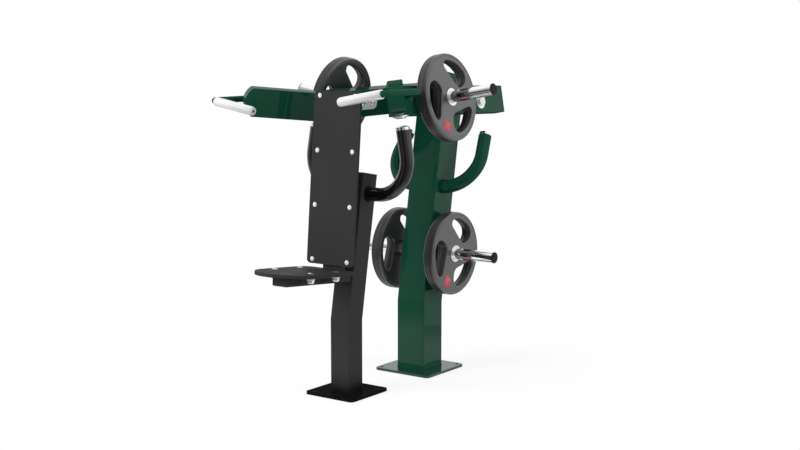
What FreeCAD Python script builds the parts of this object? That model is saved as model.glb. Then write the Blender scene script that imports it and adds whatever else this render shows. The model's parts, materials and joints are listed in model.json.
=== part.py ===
"""Outdoor shoulder press: two ground stands, a seat with a backrest and two plate-loaded press arms.

Millimetres. X runs across the machine, +Y from the seat post back to the main post, +Z up.
The origin is on the ground, under the middle of the seat post.
"""
import FreeCAD
import Part
import math
import os

# Ground plates and posts
stand_spacing = 550.0
plate_thickness = 12.0
plate_corner_radius = 20.0
anchor_hole_radius = 9.0
seat_plate_side = 260.0
seat_anchor_spacing = 200.0
main_plate_side = 300.0
main_anchor_spacing = 250.0
post_bend_height = 322.0
post_lean_angle = 10.0
post_wall = 5.0
post_corner_radius = 6.0
post_cap_thickness = 5.0
seat_post_side = 100.0
seat_post_upper_length = 631.0
main_post_side = 150.0
main_post_upper_length = 1052.0

# Bolt heads and cap nuts
bolt_rim_share = 0.35
nut_dome_share = 0.8

# Seat
seat_tilt_angle = 5.0
seat_top_height = 548.5
seat_board_thickness = 14.0
seat_board_width = 286.0
seat_board_front = 515.0
seat_board_rear = 100.0
seat_board_rear_corner = 45.0
seat_support_width = 80.0
seat_support_height = 38.0
seat_support_front = 430.0
seat_support_wall = 4.0
seat_strap_thickness = 5.0
seat_strap_width = 44.0
seat_strap_length = 240.0
seat_bolt_spacing = 194.0
seat_bolt_front = 354.0
seat_bolt_rear = 191.0
seat_bolt_radius = 6.0
seat_bolt_head_radius = 13.0
seat_bolt_head_height = 5.0
seat_nut_radius = 18.0
seat_nut_flange = 5.0
seat_nut_height = 21.0

# Backrest
back_tilt_angle = 5.0
back_face_offset = 115.4
back_seat_gap = 26.5
back_width = 248.0
back_height = 732.0
back_thickness = 12.0
back_corner_radius = 19.0
back_bolt_columns = 187.0
back_bolt_rows = 4
back_bolt_edge = 18.75
back_bolt_radius = 5.0
back_bolt_head_radius = 10.0
back_bolt_head_height = 5.0
back_nut_radius = 10.0
back_nut_flange = 4.0
back_nut_height = 12.0
back_strap_thickness = 6.0
back_strap_width = 32.0
back_strap_overhang = 18.0
back_spine_width = 100.0
back_spine_depth = 30.0
back_spine_wall = 3.0
back_spine_drop = 24.0
back_spine_top_gap = 30.0
back_bracket_width = 60.0
back_bracket_height = 60.0
back_bracket_wall = 4.0
lower_bracket_rise = 40.0
upper_bracket_drop = 58.0

# Press arms, laid out flat and then rolled about the machine's length
arm_roll_angle = 10.0
arm_axis_drop = 154.0
arm_pivot_offset = 2.5
arm_pivot_side = 197.0
arm_centre_rise = 9.5
arm_width = 60.0
arm_height = 125.0
arm_wall = 4.0
arm_corner_radius = 3.0
arm_toe_angle = 2.0
arm_splay_angle = 38.7
arm_rear_length = 207.0
arm_span = 649.0
arm_front_length = 310.0
arm_nose_radius = 75.0
arm_rest_dip_angle = 1.7
arm_raised_angle = 45.0
right_arm_lift_angle = 2.75

# Arm pivots
axle_radius = 20.0
boss_radius = 45.0
hub_radius = 45.0
hub_proud = 1.0
bearing_radius = 34.0
bearing_width = 18.0
bearing_shoulder = 4.0
pivot_cap_radius = 23.0
pivot_cap_thickness = 9.0
pivot_bolt_radius = 8.0
pivot_bolt_length = 34.0
pivot_socket_radius = 9.0
pivot_socket_depth = 5.0
running_clearance = 0.05
side_clearance = 0.5
seat_clearance = 0.3

# Horns that carry the discs
horn_radius = 25.0
horn_wall = 5.0
horn_collar_radius = 38.0
horn_collar_thickness = 14.0
horn_cap_thickness = 5.0
horn_cap_plug = 22.0
arm_horn_back = 366.0
arm_horn_end = 536.0
arm_disc_face = 320.0
store_horn_height = 551.0
store_horn_end = 382.0
store_disc_face = 171.0
horn_plate_length = 130.0
horn_plate_height = 56.0
horn_plate_thickness = 6.0
horn_plate_chamfer = 14.0
horn_plate_shift = 40.0
horn_bolt_radius = 12.0
horn_bolt_head_radius = 18.0
horn_bolt_head_height = 10.0
plate_screw_radius = 6.0
plate_screw_head_radius = 10.0
plate_screw_head_height = 6.0
plate_screw_spacing = 76.0

# Discs
disc_radius = 191.0
disc_thickness = 50.0
disc_rim_round = 12.0
disc_hub_radius = 38.0
disc_hub_proud = 2.0
disc_hub_chamfer = 2.5
disc_bore_clearance = 0.4
disc_opening_outer = 158.0
disc_opening_chord = 72.0
disc_opening_chord_lean = 18.0
disc_opening_wall_angle = 34.5
disc_opening_tip_radius = 16.0
disc_opening_heel_radius = 22.0
disc_opening_shoulder_radius = 38.0
disc_opening_count = 3
disc_opening_first_angle = 60.0

# Handles
handle_radius = 17.0
handle_bend_radius = 22.0
handle_root_forward = 801.0
handle_reach = 450.0
handle_grip_forward = 1028.0
grip_radius = 19.0
grip_free_end = 231.0
spindle_radius = 12.0
retainer_radius = 16.0
retainer_thickness = 5.0
retainer_bolt_radius = 5.0
retainer_bolt_length = 25.0
retainer_socket_radius = 5.5
retainer_socket_depth = 3.0

# Stops
stop_tube_radius = 30.0
stop_tube_wall = 4.0
stop_bend_radius = 150.0
stop_cap_height = 20.0
stop_dome_radius = 60.0
bumper_radius = 22.0
bumper_flange_radius = 34.0
bumper_flange_thickness = 4.0
bumper_height = 10.0
front_stop_forward = 616.0
front_stop_root_height = 862.0
rear_stop_back = 161.0
rear_stop_lean_angle = 31.0
rear_stop_rise = 268.0

X_AXIS = FreeCAD.Vector(1, 0, 0)
Y_AXIS = FreeCAD.Vector(0, 1, 0)
Z_AXIS = FreeCAD.Vector(0, 0, 1)
ORIGIN = FreeCAD.Vector(0, 0, 0)

arm_low = arm_centre_rise - arm_height / 2
arm_high = arm_centre_rise + arm_height / 2
grip_outer_end = handle_reach - handle_bend_radius
left_arm_tilt = -arm_rest_dip_angle
right_arm_tilt = right_arm_lift_angle - arm_rest_dip_angle
back_bottom_height = seat_top_height + back_seat_gap
back_bolt_pitch = (back_height - 2 * back_bolt_edge) / (back_bolt_rows - 1)


def vector(x, y, z):
    """Short form of a point or a direction."""
    return FreeCAD.Vector(x, y, z)


def cosine(angle):
    """Cosine of an angle in degrees."""
    return math.cos(math.radians(angle))


def sine(angle):
    """Sine of an angle in degrees."""
    return math.sin(math.radians(angle))


def tangent(angle):
    """Tangent of an angle in degrees."""
    return math.tan(math.radians(angle))


def box(low, high):
    """Box between two corner points."""
    size = high - low
    return Part.makeBox(size.x, size.y, size.z, low)


def rod(radius, start, end):
    """Round bar from one point to another."""
    return Part.makeCylinder(radius, (end - start).Length, start, end - start)


def ring(outer_radius, inner_radius, start, end):
    """Round tube from one point to another."""
    return rod(outer_radius, start, end).cut(rod(inner_radius, start, end))


def round_edges(solid, radius, direction):
    """Round every straight edge that runs along a direction."""
    picked = []
    for edge in solid.Edges:
        along = edge.Vertexes[-1].Point - edge.Vertexes[0].Point
        if along.Length > 0 and along.cross(direction).Length < 1e-6 * along.Length:
            picked.append(edge)
    return solid.makeFillet(radius, picked)


def prism(points, step):
    """Closed outline of corner points, pushed along a step."""
    outline = Part.makePolygon(points + [points[0]])
    return Part.Face(outline).extrude(step)


def turned(shape, centre, axis, angle):
    """Copy of a shape, turned about an axis."""
    copy = shape.copy()
    copy.rotate(centre, axis, angle)
    return copy


def moved(shape, step):
    """Copy of a shape, moved by a step."""
    copy = shape.copy()
    copy.translate(step)
    return copy


def mirrored(shape):
    """The same piece for the other side of the machine."""
    return shape.mirror(ORIGIN, X_AXIS)


def pair(shape):
    """The right-hand piece and its mirror image as one group."""
    return Part.makeCompound([shape, mirrored(shape)])


def group(shapes):
    """Separate solids kept in one node."""
    return Part.makeCompound(shapes)


def save(name, shape):
    """Write one node."""
    shape.exportStep(os.path.join("parts", name + ".step"))


def ground_plate(side, spacing, centre_y):
    """Square anchor plate with rounded corners and a hole near each corner."""
    half = side / 2
    plate = box(vector(-half, centre_y - half, 0), vector(half, centre_y + half, plate_thickness))
    plate = round_edges(plate, plate_corner_radius, Z_AXIS)
    for x in (-spacing / 2, spacing / 2):
        for y in (-spacing / 2, spacing / 2):
            foot = vector(x, centre_y + y, 0)
            plate = plate.cut(rod(anchor_hole_radius, foot, foot + Z_AXIS * plate_thickness))
    return plate


def post_outlines(half_depth, base_y, upper_length):
    """Side views of a post's two lengths, which meet at a mitre where the post starts to lean back."""
    shift = half_depth * tangent(post_lean_angle / 2)
    along = vector(0, sine(post_lean_angle), cosine(post_lean_angle))
    across = vector(0, cosine(post_lean_angle), -sine(post_lean_angle))
    end = vector(0, base_y, post_bend_height) + along * upper_length
    front_foot = vector(0, base_y - half_depth, plate_thickness)
    rear_foot = vector(0, base_y + half_depth, plate_thickness)
    front_bend = vector(0, base_y - half_depth, post_bend_height + shift)
    rear_bend = vector(0, base_y + half_depth, post_bend_height - shift)
    lower = [front_foot, front_bend, rear_bend, rear_foot]
    upper = [front_bend, end - across * half_depth, end + across * half_depth, rear_bend]
    return lower, upper


def post_blocks(side, base_y, upper_length):
    """Outer forms of a post's two lengths, filled, with rounded corners."""
    blocks = []
    half = side / 2
    lean_direction = vector(0, sine(post_lean_angle), cosine(post_lean_angle))
    directions = (Z_AXIS, lean_direction)
    for points, direction in zip(post_outlines(half, base_y, upper_length), directions):
        block = prism([point - X_AXIS * half for point in points], X_AXIS * side)
        blocks.append(round_edges(block, post_corner_radius, direction))
    return blocks


def post_tubes(side, base_y, upper_length):
    """The two square tubes of a post, cut to a mitre."""
    tubes = []
    inner = side / 2 - post_wall
    outlines = post_outlines(inner, base_y, upper_length)
    for block, points in zip(post_blocks(side, base_y, upper_length), outlines):
        hollow = prism([point - X_AXIS * inner for point in points], X_AXIS * (2 * inner))
        tubes.append(block.cut(hollow))
    return group(tubes)


def post_top(base_y, upper_length):
    """Middle of a post's upper end."""
    along = vector(0, sine(post_lean_angle), cosine(post_lean_angle))
    return vector(0, base_y, post_bend_height) + along * upper_length


def post_cap(side, base_y, upper_length):
    """Plate that closes a post's upper end."""
    half = side / 2
    top = post_top(base_y, upper_length)
    cap = box(top - vector(half, half, 0), top + vector(half, half, post_cap_thickness))
    cap = round_edges(cap, post_corner_radius, Z_AXIS)
    return turned(cap, top, X_AXIS, -post_lean_angle)


def post_centre_y(base_y, height):
    """Where a post's centre line is at a height above its bend."""
    return base_y + (height - post_bend_height) * tangent(post_lean_angle)


arm_axis_height = post_top(stand_spacing, main_post_upper_length).z - arm_axis_drop
arm_pivot_y = post_centre_y(stand_spacing, arm_axis_height) + arm_pivot_offset


def set_seat(shape):
    """Tilt a piece of the seat, drawn level about the board's top, into place."""
    return moved(turned(shape, ORIGIN, X_AXIS, -seat_tilt_angle), Z_AXIS * seat_top_height)


def seat_bolt_places():
    """The four bolts of the seat board, in the level seat."""
    places = []
    for x in (-seat_bolt_spacing / 2, seat_bolt_spacing / 2):
        for y in (-seat_bolt_front, -seat_bolt_rear):
            places.append(vector(x, y, 0))
    return places


seat_board_low = -seat_board_thickness
seat_strap_low = seat_board_low - seat_strap_thickness


def level_arc(centre, radius, first_angle, last_angle):
    """Level arc about a centre between two angles."""
    points = []
    for angle in (first_angle, (first_angle + last_angle) / 2, last_angle):
        points.append(centre + vector(radius * cosine(angle), radius * sine(angle), 0))
    return Part.Arc(*points).toShape()


def make_seat_board():
    """Flat board: straight at the back, swept round in front."""
    half = seat_board_width / 2
    nose_start = -seat_board_front + half
    corner = seat_board_rear_corner
    side_end = -seat_board_rear - corner
    low = seat_board_low
    edges = [
        level_arc(vector(0, nose_start, low), half, 180, 360),
        Part.makeLine(vector(half, nose_start, low), vector(half, side_end, low)),
        level_arc(vector(half - corner, side_end, low), corner, 0, 90),
        Part.makeLine(vector(half - corner, -seat_board_rear, low), vector(corner - half, -seat_board_rear, low)),
        level_arc(vector(corner - half, side_end, low), corner, 90, 180),
        Part.makeLine(vector(-half, side_end, low), vector(-half, nose_start, low)),
    ]
    board = Part.Face(Part.Wire(edges)).extrude(Z_AXIS * seat_board_thickness)
    for place in seat_bolt_places():
        board = board.cut(rod(seat_bolt_radius, place + Z_AXIS * low, place))
    return set_seat(board)


def make_seat_support():
    """Rectangular tube from the post to the front of the seat, closed in front."""
    half = seat_support_width / 2
    top = seat_strap_low
    low = top - seat_support_height
    wall = seat_support_wall
    tube = box(vector(-half, -seat_support_front, low), vector(half, 0, top))
    tube = round_edges(tube, post_corner_radius, Y_AXIS)
    inside_low = vector(-half + wall, -seat_support_front + wall, low + wall)
    inside_high = vector(half - wall, 0, top - wall)
    tube = set_seat(tube.cut(box(inside_low, inside_high)))
    return tube.cut(post_blocks(seat_post_side, 0, seat_post_upper_length))


def make_seat_straps():
    """Two flat bars across the support that the board is bolted to."""
    straps = []
    for y in (-seat_bolt_front, -seat_bolt_rear):
        low = vector(-seat_strap_length / 2, y - seat_strap_width / 2, seat_strap_low)
        high = vector(seat_strap_length / 2, y + seat_strap_width / 2, seat_board_low)
        strap = box(low, high)
        for place in seat_bolt_places():
            strap = strap.cut(rod(seat_bolt_radius, place + Z_AXIS * seat_strap_low, place))
        straps.append(set_seat(strap))
    return group(straps)


def lathe(edges, seat, direction):
    """Turn a half profile, drawn in X and Z, about Z and stand it on a seat."""
    solid = Part.Face(Part.Wire(edges)).revolve(ORIGIN, Z_AXIS, 360)
    solid.Placement = FreeCAD.Placement(seat, FreeCAD.Rotation(Z_AXIS, direction))
    return solid


def line_edges(points):
    """Straight edges of a half profile through radius and height pairs."""
    corners = [vector(radius, 0, height) for radius, height in points]
    return [Part.makeLine(first, second) for first, second in zip(corners, corners[1:])]


def dome_edge(radius, rim, height):
    """Arc of a half profile from its top on the axis down to a rim."""
    sagitta = height - rim
    ball_radius = (radius * radius + sagitta * sagitta) / (2 * sagitta)
    half_angle = math.asin(radius / ball_radius) / 2
    middle = vector(ball_radius * math.sin(half_angle), 0, height - ball_radius * (1 - math.cos(half_angle)))
    return Part.Arc(vector(0, 0, height), middle, vector(radius, 0, rim)).toShape()


def round_bolt(head_radius, head_height, shank_radius, shank_length, seat, direction):
    """Bolt with a low domed head that points along a direction, and its shank behind the seat."""
    rim = head_height * bolt_rim_share
    sides = line_edges([
        (head_radius, rim),
        (head_radius, 0),
        (shank_radius, 0),
        (shank_radius, -shank_length),
        (0, -shank_length),
        (0, head_height),
    ])
    return lathe([dome_edge(head_radius, rim, head_height)] + sides, seat, direction)


def cap_nut(radius, flange, height, bolt_radius, seat, direction):
    """Nut with a round flange and a closed dome, over the end of a bolt."""
    dome_radius = radius * nut_dome_share
    sides = line_edges([
        (dome_radius, flange),
        (radius, flange),
        (radius, 0),
        (bolt_radius, 0),
        (bolt_radius, flange),
        (0, flange),
        (0, height),
    ])
    return lathe([dome_edge(dome_radius, flange, height)] + sides, seat, direction)


def make_seat_bolts():
    """Round-headed bolts through board and strap."""
    bolts = []
    length = seat_nut_flange - seat_strap_low
    for place in seat_bolt_places():
        bolt = round_bolt(
            seat_bolt_head_radius, seat_bolt_head_height, seat_bolt_radius, length, place, Z_AXIS
        )
        bolts.append(set_seat(bolt))
    return group(bolts)


def make_seat_nuts():
    """Large domed nuts under the straps, beside the support tube."""
    nuts = []
    for place in seat_bolt_places():
        seat = place + Z_AXIS * seat_strap_low
        nut = cap_nut(seat_nut_radius, seat_nut_flange, seat_nut_height, seat_bolt_radius, seat, -Z_AXIS)
        nuts.append(set_seat(nut))
    return group(nuts)


def set_back(shape):
    """Tilt a piece of the backrest, drawn upright with its front face at y = 0, into place."""
    base = vector(0, -back_face_offset, back_bottom_height)
    return moved(turned(shape, ORIGIN, X_AXIS, -back_tilt_angle), base)


def back_bolt_places():
    """Bolts of the backrest on its upright front face."""
    places = []
    for row in range(back_bolt_rows):
        for x in (-back_bolt_columns / 2, back_bolt_columns / 2):
            places.append(vector(x, 0, back_bolt_edge + row * back_bolt_pitch))
    return places


def make_back_panel():
    """Flat panel with rounded corners and two columns of bolt holes."""
    panel = box(vector(-back_width / 2, 0, 0), vector(back_width / 2, back_thickness, back_height))
    panel = round_edges(panel, back_corner_radius, Y_AXIS)
    for place in back_bolt_places():
        panel = panel.cut(rod(back_bolt_radius, place, place + Y_AXIS * back_thickness))
    return set_back(panel)


back_strap_rear = back_thickness + back_strap_thickness
back_spine_rear = back_strap_rear + back_spine_depth


def make_back_straps():
    """Flat bars between the panel and its spine, one for each row of bolts."""
    straps = []
    half = back_bolt_columns / 2 + back_strap_overhang
    for row in range(back_bolt_rows):
        middle = back_bolt_edge + row * back_bolt_pitch
        low = vector(-half, back_thickness, middle - back_strap_width / 2)
        high = vector(half, back_strap_rear, middle + back_strap_width / 2)
        strap = box(low, high)
        for place in back_bolt_places():
            strap = strap.cut(rod(back_bolt_radius, place, place + Y_AXIS * back_strap_rear))
        straps.append(set_back(strap))
    return group(straps)


def make_back_spine():
    """Flat tube up the middle of the backrest."""
    half = back_spine_width / 2
    wall = back_spine_wall
    top = back_height - back_spine_top_gap
    spine = box(vector(-half, back_strap_rear, -back_spine_drop), vector(half, back_spine_rear, top))
    hollow_low = vector(-half + wall, back_strap_rear + wall, -back_spine_drop + wall)
    hollow_high = vector(half - wall, back_spine_rear - wall, top - wall)
    spine = round_edges(spine, wall, Z_AXIS).cut(box(hollow_low, hollow_high))
    return set_back(spine)


def make_back_brackets():
    """Square tubes that hold the spine off the post."""
    half = back_bracket_width / 2
    wall = back_bracket_wall
    spine_low = vector(-back_spine_width, -back_face_offset, -back_spine_drop)
    spine_high = vector(back_spine_width, back_spine_rear, back_height)
    spine_block = set_back(box(spine_low, spine_high))
    post = post_blocks(seat_post_side, 0, seat_post_upper_length)
    brackets = []
    lower_height = back_bottom_height + lower_bracket_rise
    upper_height = post_top(0, seat_post_upper_length).z - upper_bracket_drop
    for height in (lower_height, upper_height):
        low = vector(-half, -back_face_offset, height - back_bracket_height / 2)
        high = vector(half, post_centre_y(0, height), height + back_bracket_height / 2)
        margin = vector(wall, 0, wall)
        tube = box(low, high).cut(box(low + margin, high - margin))
        brackets.append(tube.cut(post).cut(spine_block))
    return group(brackets)


def make_back_bolts():
    """Round-headed bolts through panel and strap."""
    bolts = []
    length = back_strap_rear + back_nut_flange
    for place in back_bolt_places():
        bolt = round_bolt(
            back_bolt_head_radius, back_bolt_head_height, back_bolt_radius, length, place, -Y_AXIS
        )
        bolts.append(set_back(bolt))
    return group(bolts)


def make_back_nuts():
    """Domed nuts behind the straps."""
    nuts = []
    for place in back_bolt_places():
        seat = place + Y_AXIS * back_strap_rear
        nut = cap_nut(back_nut_radius, back_nut_flange, back_nut_height, back_bolt_radius, seat, Y_AXIS)
        nuts.append(set_back(nut))
    return group(nuts)


def roll(point):
    """Where a point of the flat arm layout lies once the arm is rolled."""
    x = point.x * cosine(arm_roll_angle) - point.z * sine(arm_roll_angle)
    z = point.x * sine(arm_roll_angle) + point.z * cosine(arm_roll_angle)
    return vector(x, point.y, arm_axis_height + z)


def roll_piece(shape):
    """Roll a piece of the flat right-hand arm layout into place."""
    return moved(turned(shape, ORIGIN, Y_AXIS, -arm_roll_angle), Z_AXIS * arm_axis_height)


def lift_point(point, angle):
    """Where a point of the flat arm lies once the arm is lifted about its pivot."""
    back = point.y - arm_pivot_y
    y = arm_pivot_y + back * cosine(angle) + point.z * sine(angle)
    return vector(point.x, y, point.z * cosine(angle) - back * sine(angle))


def lift_piece(shape, angle):
    """Lift a piece of the flat arm about the pivot."""
    return turned(shape, vector(0, arm_pivot_y, 0), X_AXIS, -angle)


def rear_point(along, across, rise):
    """Point of the flat arm, measured forward from the pivot along its rear part."""
    x = arm_pivot_side + along * sine(arm_toe_angle) + across * cosine(arm_toe_angle)
    y = arm_pivot_y - along * cosine(arm_toe_angle) + across * sine(arm_toe_angle)
    return vector(x, y, rise)


def front_point(along, across, rise):
    """Point of the flat arm, measured forward from the bend along its front part."""
    bend = rear_point(arm_span, 0, rise)
    forward = vector(sine(arm_splay_angle), -cosine(arm_splay_angle), 0)
    outward = vector(cosine(arm_splay_angle), sine(arm_splay_angle), 0)
    return bend + forward * along + outward * across


def arm_prisms(half_width, rear, front, low, high):
    """The arm's plan, straight behind a mitre and splayed before it, as two prisms."""
    mitre = half_width * tangent((arm_splay_angle - arm_toe_angle) / 2)
    inner_bend = rear_point(arm_span + mitre, -half_width, low)
    outer_bend = rear_point(arm_span - mitre, half_width, low)
    rear_plan = [
        rear_point(-rear, -half_width, low),
        inner_bend,
        outer_bend,
        rear_point(-rear, half_width, low),
    ]
    front_plan = [
        inner_bend,
        front_point(front, -half_width, low),
        front_point(front, half_width, low),
        outer_bend,
    ]
    return [prism(plan, Z_AXIS * (high - low)) for plan in (rear_plan, front_plan)]


def nose_sagitta():
    """How far the nose's curve stands out from its upper and lower corners."""
    return arm_nose_radius - math.sqrt(arm_nose_radius ** 2 - (arm_height / 2) ** 2)


def arm_blocks():
    """Outer forms of the arm's two lengths, filled, with the curved nose."""
    rear, front = arm_prisms(arm_width / 2, arm_rear_length, arm_front_length, arm_low, arm_high)
    rear = round_edges(rear, arm_corner_radius, rear_point(1, 0, 0) - rear_point(0, 0, 0))
    front = round_edges(front, arm_corner_radius, front_point(1, 0, 0) - front_point(0, 0, 0))
    nose_centre = arm_front_length - arm_nose_radius
    round_start = front_point(nose_centre, -arm_width, arm_centre_rise)
    round_end = front_point(nose_centre, arm_width, arm_centre_rise)
    reach = arm_front_length - nose_sagitta()
    corners = [
        front_point(reach, -arm_width, arm_low - arm_wall),
        front_point(arm_front_length + arm_wall, -arm_width, arm_low - arm_wall),
        front_point(arm_front_length + arm_wall, arm_width, arm_low - arm_wall),
        front_point(reach, arm_width, arm_low - arm_wall),
    ]
    waste = prism(corners, Z_AXIS * (arm_height + 2 * arm_wall))
    waste = waste.cut(rod(arm_nose_radius, round_start, round_end))
    return [rear, front.cut(waste)]


def pivot_point(side):
    """Point on the pivot axis of the flat arm."""
    return vector(side, arm_pivot_y, 0)


hub_start = arm_pivot_side - arm_width / 2 / cosine(arm_toe_angle) - hub_radius * tangent(arm_toe_angle) - hub_proud
hub_end = 2 * arm_pivot_side - hub_start
axle_end = hub_end + side_clearance


def arm_horn_point(side):
    """Point on the axis of the horn on the flat arm."""
    return vector(side, arm_pivot_y - arm_horn_back, arm_centre_rise)


def make_arm_tubes():
    """The two box sections of a lever, closed at its ends and bored for its bearing hub and bolts."""
    hollows = arm_prisms(
        arm_width / 2 - arm_wall,
        arm_rear_length - arm_wall,
        arm_front_length - nose_sagitta() - arm_wall,
        arm_low + arm_wall,
        arm_high - arm_wall,
    )
    rear, front = [block.cut(hollow) for block, hollow in zip(arm_blocks(), hollows)]
    rear = rear.cut(rod(hub_radius, pivot_point(hub_start), pivot_point(hub_end)))
    rear = rear.cut(horn_plate_bolts())
    return group([rear, front])


def make_arm_hub():
    """Round housing through the arm, with a seat for a bearing at each end."""
    hub = rod(hub_radius, pivot_point(hub_start), pivot_point(hub_end))
    hub = hub.cut(rod(bearing_radius - bearing_shoulder, pivot_point(hub_start), pivot_point(hub_end)))
    for start, end in bearing_spans():
        hub = hub.cut(rod(bearing_radius, pivot_point(start), pivot_point(end)))
    return hub


def bearing_spans():
    """Where the two bearings sit along the pivot axis."""
    return [(hub_start, hub_start + bearing_width), (hub_end - bearing_width, hub_end)]


def make_arm_bearings():
    """Sealed bearings that turn on the axle."""
    rings = []
    for start, end in bearing_spans():
        bore = axle_radius + running_clearance
        rings.append(ring(bearing_radius, bore, pivot_point(start), pivot_point(end)))
    return rings


def beside_main_post(shape):
    """Trim a piece to the right of the main post's side face."""
    reach = 2 * main_post_side
    side = main_post_side / 2
    low = vector(side - reach, arm_pivot_y - reach, arm_axis_height - reach)
    high = vector(side, arm_pivot_y + reach, arm_axis_height + reach)
    return shape.cut(box(low, high))


def make_pivot_boss():
    """Round stand-off welded to the side of the main post."""
    end = hub_start - side_clearance
    boss = ring(boss_radius, axle_radius, pivot_point(0), pivot_point(end))
    return beside_main_post(roll_piece(boss))


def make_pivot_axle():
    """Stub axle through the boss, tapped for the cap's bolt."""
    axle = rod(axle_radius, pivot_point(0), pivot_point(axle_end))
    axle = axle.cut(rod(pivot_bolt_radius, pivot_point(axle_end - pivot_bolt_length), pivot_point(axle_end)))
    return beside_main_post(roll_piece(axle))


def make_pivot_cap():
    """Bright cap with a socket that keeps the arm on its axle."""
    face = axle_end + pivot_cap_thickness
    cap = rod(pivot_cap_radius, pivot_point(axle_end), pivot_point(face))
    cap = cap.fuse(rod(pivot_bolt_radius, pivot_point(axle_end - pivot_bolt_length), pivot_point(axle_end)))
    cap = cap.cut(rod(pivot_socket_radius, pivot_point(face - pivot_socket_depth), pivot_point(face)))
    return roll_piece(cap.removeSplitter())


def make_horn(axis_point, root, end):
    """Plate horn: a round tube from the part that carries it to its end cap."""
    tube_end = end - horn_cap_thickness
    return ring(horn_radius, horn_radius - horn_wall, axis_point(root), axis_point(tube_end))


def make_horn_cap(axis_point, end):
    """Plug with a flat flange that closes a horn."""
    tube_end = end - horn_cap_thickness
    flange = rod(horn_radius, axis_point(tube_end), axis_point(end))
    plug = rod(horn_radius - horn_wall, axis_point(tube_end - horn_cap_plug), axis_point(tube_end))
    return flange.fuse(plug).removeSplitter()


def collar_face(disc_face):
    """Where a collar ends and its disc begins along a horn."""
    return disc_face - disc_thickness - disc_hub_proud - seat_clearance


def make_collar(axis_point, disc_face):
    """Ring on a horn that its disc rests against."""
    end = collar_face(disc_face)
    start = end - horn_collar_thickness
    return ring(horn_collar_radius, horn_radius, axis_point(start), axis_point(end))


def store_horn_point(side):
    """Point on the axis of the storage horn on the main post."""
    return vector(side, post_centre_y(stand_spacing, store_horn_height), store_horn_height)


def make_arm_horn_plate():
    """Steel plate on the arm's inner face that the horn is bolted to."""
    inner = -arm_width / 2
    centre = arm_horn_back / cosine(arm_toe_angle) - horn_plate_shift
    front = centre + horn_plate_length / 2
    rear = centre - horn_plate_length / 2
    low = arm_centre_rise - horn_plate_height / 2
    high = arm_centre_rise + horn_plate_height / 2
    cut = horn_plate_chamfer
    points = [
        rear_point(front, inner, low),
        rear_point(front, inner, high),
        rear_point(rear + cut, inner, high),
        rear_point(rear, inner, high - cut),
        rear_point(rear, inner, low + cut),
        rear_point(rear + cut, inner, low),
    ]
    outward = rear_point(0, 1, 0) - rear_point(0, 0, 0)
    plate = prism(points, outward * -horn_plate_thickness)
    return plate.cut(horn_plate_bolts())


def plate_screw(along):
    """Round-headed screw through the horn plate into the arm's wall."""
    inner = -arm_width / 2
    face = rear_point(along, inner - horn_plate_thickness, arm_centre_rise)
    end = rear_point(along, inner + arm_wall, arm_centre_rise)
    length = horn_plate_thickness + arm_wall
    inward = face - end
    return round_bolt(
        plate_screw_head_radius, plate_screw_head_height, plate_screw_radius, length, face, inward
    )


def horn_plate_bolts():
    """Large bolt along the horn's axis and a screw behind it."""
    inner = arm_pivot_side + arm_horn_back * tangent(arm_toe_angle) - arm_width / 2 / cosine(arm_toe_angle)
    face = inner - horn_plate_thickness - horn_bolt_head_radius * tangent(arm_toe_angle)
    length = arm_disc_face - disc_thickness - face
    bolt = round_bolt(
        horn_bolt_head_radius, horn_bolt_head_height, horn_bolt_radius, length, arm_horn_point(face), -X_AXIS
    )
    along = arm_horn_back / cosine(arm_toe_angle) - plate_screw_spacing
    return [bolt, plate_screw(along)]


def make_arm_horn():
    """Horn on the arm, with a solid root that takes the large bolt."""
    root = arm_pivot_side
    horn = make_horn(arm_horn_point, root, arm_horn_end)
    plug_end = arm_horn_point(arm_disc_face)
    horn = horn.fuse(rod(horn_radius, arm_horn_point(root), plug_end)).removeSplitter()
    bolt_end = arm_horn_point(arm_disc_face - disc_thickness)
    horn = horn.cut(rod(horn_bolt_radius, arm_horn_point(root), bolt_end))
    return horn.cut(arm_blocks())


def disc_point(radius, angle):
    """Point beside a disc, by its reach and its angle from +Y."""
    return vector(-disc_thickness, radius * cosine(angle), radius * sine(angle))


def round_corner(solid, radius, corner):
    """Round the edge that runs along X from a corner point."""
    picked = []
    for edge in solid.Edges:
        along = edge.Vertexes[-1].Point - edge.Vertexes[0].Point
        offset = edge.Vertexes[0].Point - corner
        if along.cross(X_AXIS).Length < 1e-6 * along.Length and offset.cross(X_AXIS).Length < 1e-6 * disc_radius:
            picked.append(edge)
    return solid.makeFillet(radius, picked)


def disc_opening():
    """One hand opening along X: an arc outside, a leaning chord inside, a wall at one end and a tip at the other."""
    outer = disc_opening_outer
    lean = disc_opening_chord_lean
    wall = disc_opening_wall_angle
    tip_angle = math.degrees(math.acos(disc_opening_chord / outer)) - lean
    tip = disc_point(outer, tip_angle)
    shoulder = disc_point(outer, -wall)
    heel = disc_point(disc_opening_chord / cosine(wall - lean), -wall)
    edges = [
        Part.makeLine(heel, tip),
        Part.Arc(tip, disc_point(outer, 0), shoulder).toShape(),
        Part.makeLine(shoulder, heel),
    ]
    opening = Part.Face(Part.Wire(edges)).extrude(X_AXIS * (2 * disc_thickness))
    opening = round_corner(opening, disc_opening_tip_radius, tip)
    opening = round_corner(opening, disc_opening_heel_radius, heel)
    return round_corner(opening, disc_opening_shoulder_radius, shoulder)


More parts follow.
